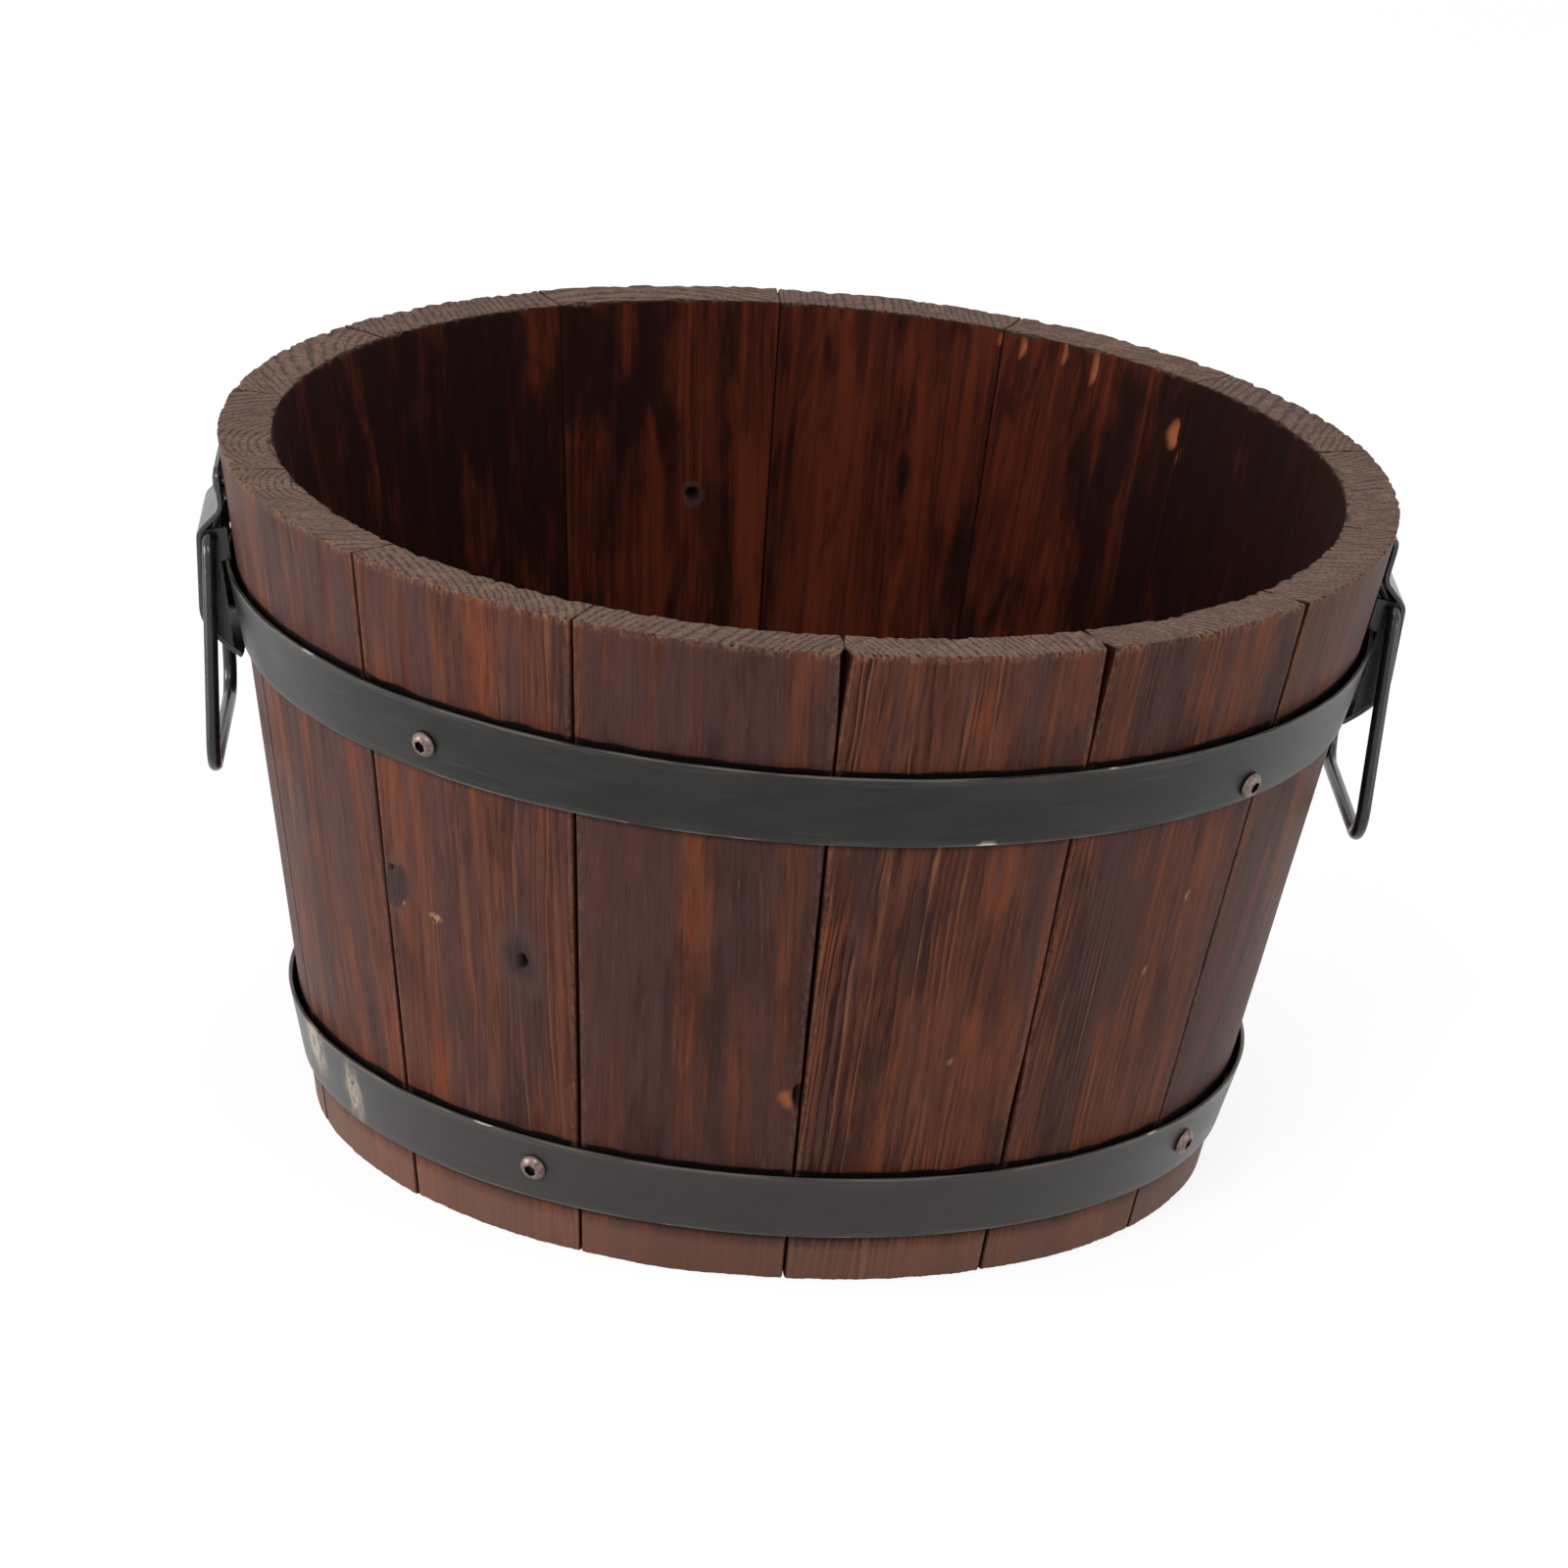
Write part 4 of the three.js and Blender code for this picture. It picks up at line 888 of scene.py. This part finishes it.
def bent_sheet(line):
    """The sheet laid along its line: its points, its faces, and each point's distance from a side edge."""
    lengths = lengths_along(line)
    stations = ruled(lengths[-1], 1.2, CORNER_STEPS)
    places, quads = block_shell(ruled(2, 0.12, [0, 0.01, 0.025, 0.05]) - 1, stations,
                                np.array([0, 0.15, 0.45, 1.0, 1.55, 1.85, 2.0]))
    corner = np.clip(1 - places[:, 1] / SADDLE_CORNER, 0, 0.999)
    half = SADDLE_HALF_WIDTH - SADDLE_CORNER * (1 - np.sqrt(1 - corner ** 2))
    flat = places * np.stack([half, 0 * half + 1, 0 * half + 1], 1)
    low = np.stack([-half, 0 * half, 0 * half], 1)
    high = np.stack([half, 0 * half + lengths[-1], 0 * half + SHEET], 1)
    flat, way_out = round_corners(flat, low, high, SHEET_ROUND)
    flat -= way_out * 0.03
    out, up = read_off(flat[:, 1], lengths, line).T
    heading_out, heading_up = read_off(flat[:, 1], lengths, unit(np.gradient(line, lengths, axis=0))).T
    face = flat[:, 2] - SHEET / 2
    points = np.stack([out - heading_up * face, flat[:, 0], up + heading_out * face], 1)
    return points, quads.tolist(), half - np.abs(flat[:, 0])


def cheek(line, side):
    """A flat plate from the bore out to the sheet's line, at one end of the saddle."""
    bulge = line[(line[:, 0] > CHEEK_OFF) & (line[:, 1] > -SADDLE_FOOT)]
    outline = np.concatenate([
        [[PIECE_GAP, bulge[0, 1]]], bulge, [[CHEEK_OFF, bulge[-1, 1]]], [[CHEEK_OFF, CHEEK_STEP]],
        [[PIECE_GAP, CHEEK_STEP]], [[PIECE_GAP, 0]]])
    from_pivot = outline - [pivot_out, 0]
    bore = PIVOT_BORE * unit(from_pivot) + [pivot_out, 0]
    outer_face = SADDLE_HALF_WIDTH - CHEEK_INSET
    inner_face = SADDLE_HALF_WIDTH - SHEET
    section = [(outline, outer_face), (outline, inner_face), (bore, inner_face), (bore, outer_face)]
    rings = np.stack([np.stack([edge[:, 0], 0 * edge[:, 0] + across * side, edge[:, 1]], 1)
                      for edge, across in section], 1)
    return ring_skin(rings[:, ::side], closed=True)


def make_saddle(side):
    line = saddle_line()
    points, faces, from_side = bent_sheet(line)
    edge = [np.clip(1 - from_side / 1.2, 0, 1)]
    for end in (-1, 1):
        cheek_points, cheek_faces = cheek(line, end)
        faces += [[i + len(points) for i in face] for face in cheek_faces]
        points = np.concatenate([points, cheek_points])
        edge.append(0 * cheek_points[:, 0])
    saddle = new_mesh_piece(f"steel_{side}_handle_saddle", points, faces)
    saddle.data.set_sharp_from_angle(angle=math.radians(50))
    saddle.data.transform(wall_frame(HANDLE_AZIMUTHS[side], PIVOT_HEIGHT, 0, up=pivot_up))
    add_values(saddle, edge=np.concatenate(edge))
    saddle.data.materials.append(handle_finish)
    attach(saddle, "tub")
    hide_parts(f"{side}_handle_saddle")


def blackened_steel():
    f = Finish("blackened_steel")
    place = f.stretch(f.object_place(), (MM, MM, MM))
    cloud = f.noise(place, (9, 9, 14), 4, 0.6)
    speck = f.noise(place, (0.8, 0.8, 0.8), 2, 0.6)
    steel = f.mix(f.ramp(cloud, 0.35, 0.7), colour(11, 11, 13), colour(26, 27, 29))
    steel = f.mix(f.ramp(speck, 0.58, 0.74), steel, colour(60, 60, 60), 0.3)
    steel = f.mix(f.value("edge"), steel, colour(90, 90, 90), 0.3)
    # Painted shade: the sockets of the flat screws are painted near black.
    steel = f.mix(f.value("socket"), steel, colour(6, 6, 6))
    rough = f.calc("MULTIPLY_ADD", cloud, 0.2, 0.16)
    return f.surface(steel, rough, f.bump(speck, 0.06), 0.5)


handle_finish = blackened_steel()
for handle_side, handle_azimuth in HANDLE_AZIMUTHS.items():
    make_saddle(handle_side)
    for i, (across, up, face) in enumerate(SADDLE_SCREWS):
        make_screw(f"{handle_side}_handle_screw_{i + 1}", WALL_SCREW_LENGTH,
                   wall_frame(handle_azimuth, PIVOT_HEIGHT, face, across=across, up=pivot_up + up),
                   FLAT_HEAD, handle_finish)

# ---------- Bails ----------
# Each bail is a closed loop of 5 mm steel rod, wider at the grip than at the pivot, blackened like
# the saddle. It hangs from the saddle and swings out and up.
ROD_RADIUS = 2.5
ROD_SIDES = 20
ROD_STEP = 3
BAIL_TOP_WIDTH = 57
BAIL_FOOT_WIDTH = 94
BAIL_DROP = 80
BAIL_TOP_BEND = 5
BAIL_FOOT_BEND = 10
BAIL_BEND_STEPS = 10


def bail_line():
    """The rod's centre line round the loop, hanging from the Y axis, and the way out of the loop."""
    corners = np.array([[BAIL_TOP_WIDTH / 2, 0], [-BAIL_TOP_WIDTH / 2, 0],
                        [-BAIL_FOOT_WIDTH / 2, -BAIL_DROP], [BAIL_FOOT_WIDTH / 2, -BAIL_DROP]])
    centres, ways = [], []
    for i, bend_radius in enumerate((BAIL_TOP_BEND, BAIL_TOP_BEND, BAIL_FOOT_BEND, BAIL_FOOT_BEND)):
        inward = corners[i - 1] - corners[i]
        onward = corners[(i + 1) % 4] - corners[i]
        inward, onward = unit(inward), unit(onward)
        half_angle = math.acos(inward @ onward) / 2
        to_centre = unit(inward + onward) * bend_radius / math.sin(half_angle)
        last = math.atan2(-onward[0], onward[1])
        for angle in np.linspace(last - math.pi + 2 * half_angle, last, BAIL_BEND_STEPS + 1):
            way = np.array([math.cos(angle), math.sin(angle)])
            centres.append(corners[i] + to_centre + bend_radius * way)
            ways.append(way)
    return np.array(centres), np.array(ways)


def make_bail(side):
    centres, ways = bail_line()
    centres = np.concatenate([centres, centres[:1]])
    ways = np.concatenate([ways, ways[:1]])
    lengths = lengths_along(centres)
    stations = np.unique(np.concatenate([lengths, np.arange(0, lengths[-1], ROD_STEP)]).round(3))[:-1]
    middle = read_off(stations, lengths, centres)
    way = unit(read_off(stations, lengths, ways))
    angles = np.linspace(0, 2 * math.pi, ROD_SIDES, endpoint=False)
    rings = np.stack([
        np.broadcast_to(ROD_RADIUS * np.sin(angles), (len(stations), ROD_SIDES)),
        middle[:, None, 0] + ROD_RADIUS * np.cos(angles) * way[:, None, 0],
        middle[:, None, 1] + ROD_RADIUS * np.cos(angles) * way[:, None, 1],
    ], -1)
    bail = new_mesh_piece(f"steel_{side}_handle_bail", *ring_skin(rings, closed=True))
    pivot_radius = wall_radius(PIVOT_HEIGHT) + PIVOT_STAND_OFF
    bail.data.transform(
        Matrix.Rotation(math.radians(HANDLE_AZIMUTHS[side]), 4, "Z")
        @ Matrix.Translation((pivot_radius * MM, 0, PIVOT_HEIGHT * MM))
        @ Matrix.Rotation(math.radians(BAIL_LEAN), 4, "Y"))
    bail.data.materials.append(handle_finish)
    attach(bail, f"{side}_bail")
    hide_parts(f"{side}_handle_bail")


for handle_side in HANDLE_AZIMUTHS:
    make_bail(handle_side)

# ---------- Floor, backdrop and lamps ----------
# A plain white studio: the floor and the backdrop are seen white, and keep the tub's shadow. A broad
# soft lamp stands in front at the upper left, one low on each side, and one overhead. Metres and watts.
FLOOR_HALF = 6
BACKDROP_LIGHT = 0.42
FLOOR_GLOW = 0.86
FLOOR_SEEN = 0.2
FLOOR_LIT = 0.9
LAMP_AIM = (0, 0, 0.12)
LAMPS = [
    # place, size, power
    [(-0.9, -2.6, 2.2), 1.6, 46],
    [(-2.6, -0.3, 0.4), 1.4, 54],
    [(2.4, -0.9, 0.5), 1.4, 16],
    [(0.3, 0.0, 2.8), 1.8, 16],
]


def seen_directly(tree):
    """1 for what the camera, a reflection or a transparent surface sees, and 0 for the light itself."""
    path = tree.nodes.new("ShaderNodeLightPath")
    total = path.outputs["Is Camera Ray"]
    for ray in ("Is Glossy Ray", "Is Transmission Ray"):
        larger = tree.nodes.new("ShaderNodeMath")
        larger.operation = "MAXIMUM"
        tree.links.new(total, larger.inputs[0])
        tree.links.new(path.outputs[ray], larger.inputs[1])
        total = larger.outputs[0]
    return total


f = Finish("studio_floor")
lit = f.add("BsdfDiffuse", {"Color": (FLOOR_LIT,) * 3 + (1,)})
seen = f.add("BsdfDiffuse", {"Color": (FLOOR_SEEN,) * 3 + (1,)})
glow = f.add("Emission", {"Color": (1, 1, 1, 1), "Strength": FLOOR_GLOW})
white = f.add("AddShader", {0: seen.outputs[0], 1: glow.outputs[0]})
either = f.add("MixShader", {0: seen_directly(f.tree), 1: lit.outputs[0], 2: white.outputs[0]})
f.add("OutputMaterial", {"Surface": either.outputs[0]})
floor = new_mesh_piece("floor", np.array([[-1, -1, 0], [1, -1, 0], [1, 1, 0], [-1, 1, 0]]) * FLOOR_HALF / MM,
                       np.array([[0, 1, 2, 3]]))
floor.data.materials.append(f.material)

world = bpy.data.worlds.new("studio")
world.use_nodes = True
bpy.context.scene.world = world
strength = world.node_tree.nodes.new("ShaderNodeMapRange")
strength.inputs["To Min"].default_value = BACKDROP_LIGHT
strength.inputs["To Max"].default_value = 1.0
world.node_tree.links.new(seen_directly(world.node_tree), strength.inputs["Value"])
backdrop = world.node_tree.nodes["Background"]
backdrop.inputs["Color"].default_value = (1, 1, 1, 1)
world.node_tree.links.new(strength.outputs["Result"], backdrop.inputs["Strength"])

for i, (lamp_place, lamp_size, lamp_power) in enumerate(LAMPS):
    lamp_data = bpy.data.lights.new(f"lamp_{i + 1}", "AREA")
    lamp_data.shape = "DISK"
    lamp_data.size = lamp_size
    lamp_data.energy = lamp_power
    lamp = bpy.data.objects.new(f"lamp_{i + 1}", lamp_data)
    bpy.context.scene.collection.objects.link(lamp)
    lamp.location = lamp_place
    lamp.rotation_euler = (Vector(LAMP_AIM) - Vector(lamp_place)).to_track_quat("-Z", "Y").to_euler()

scene_view = bpy.context.scene.view_settings
scene_view.view_transform = "Standard"
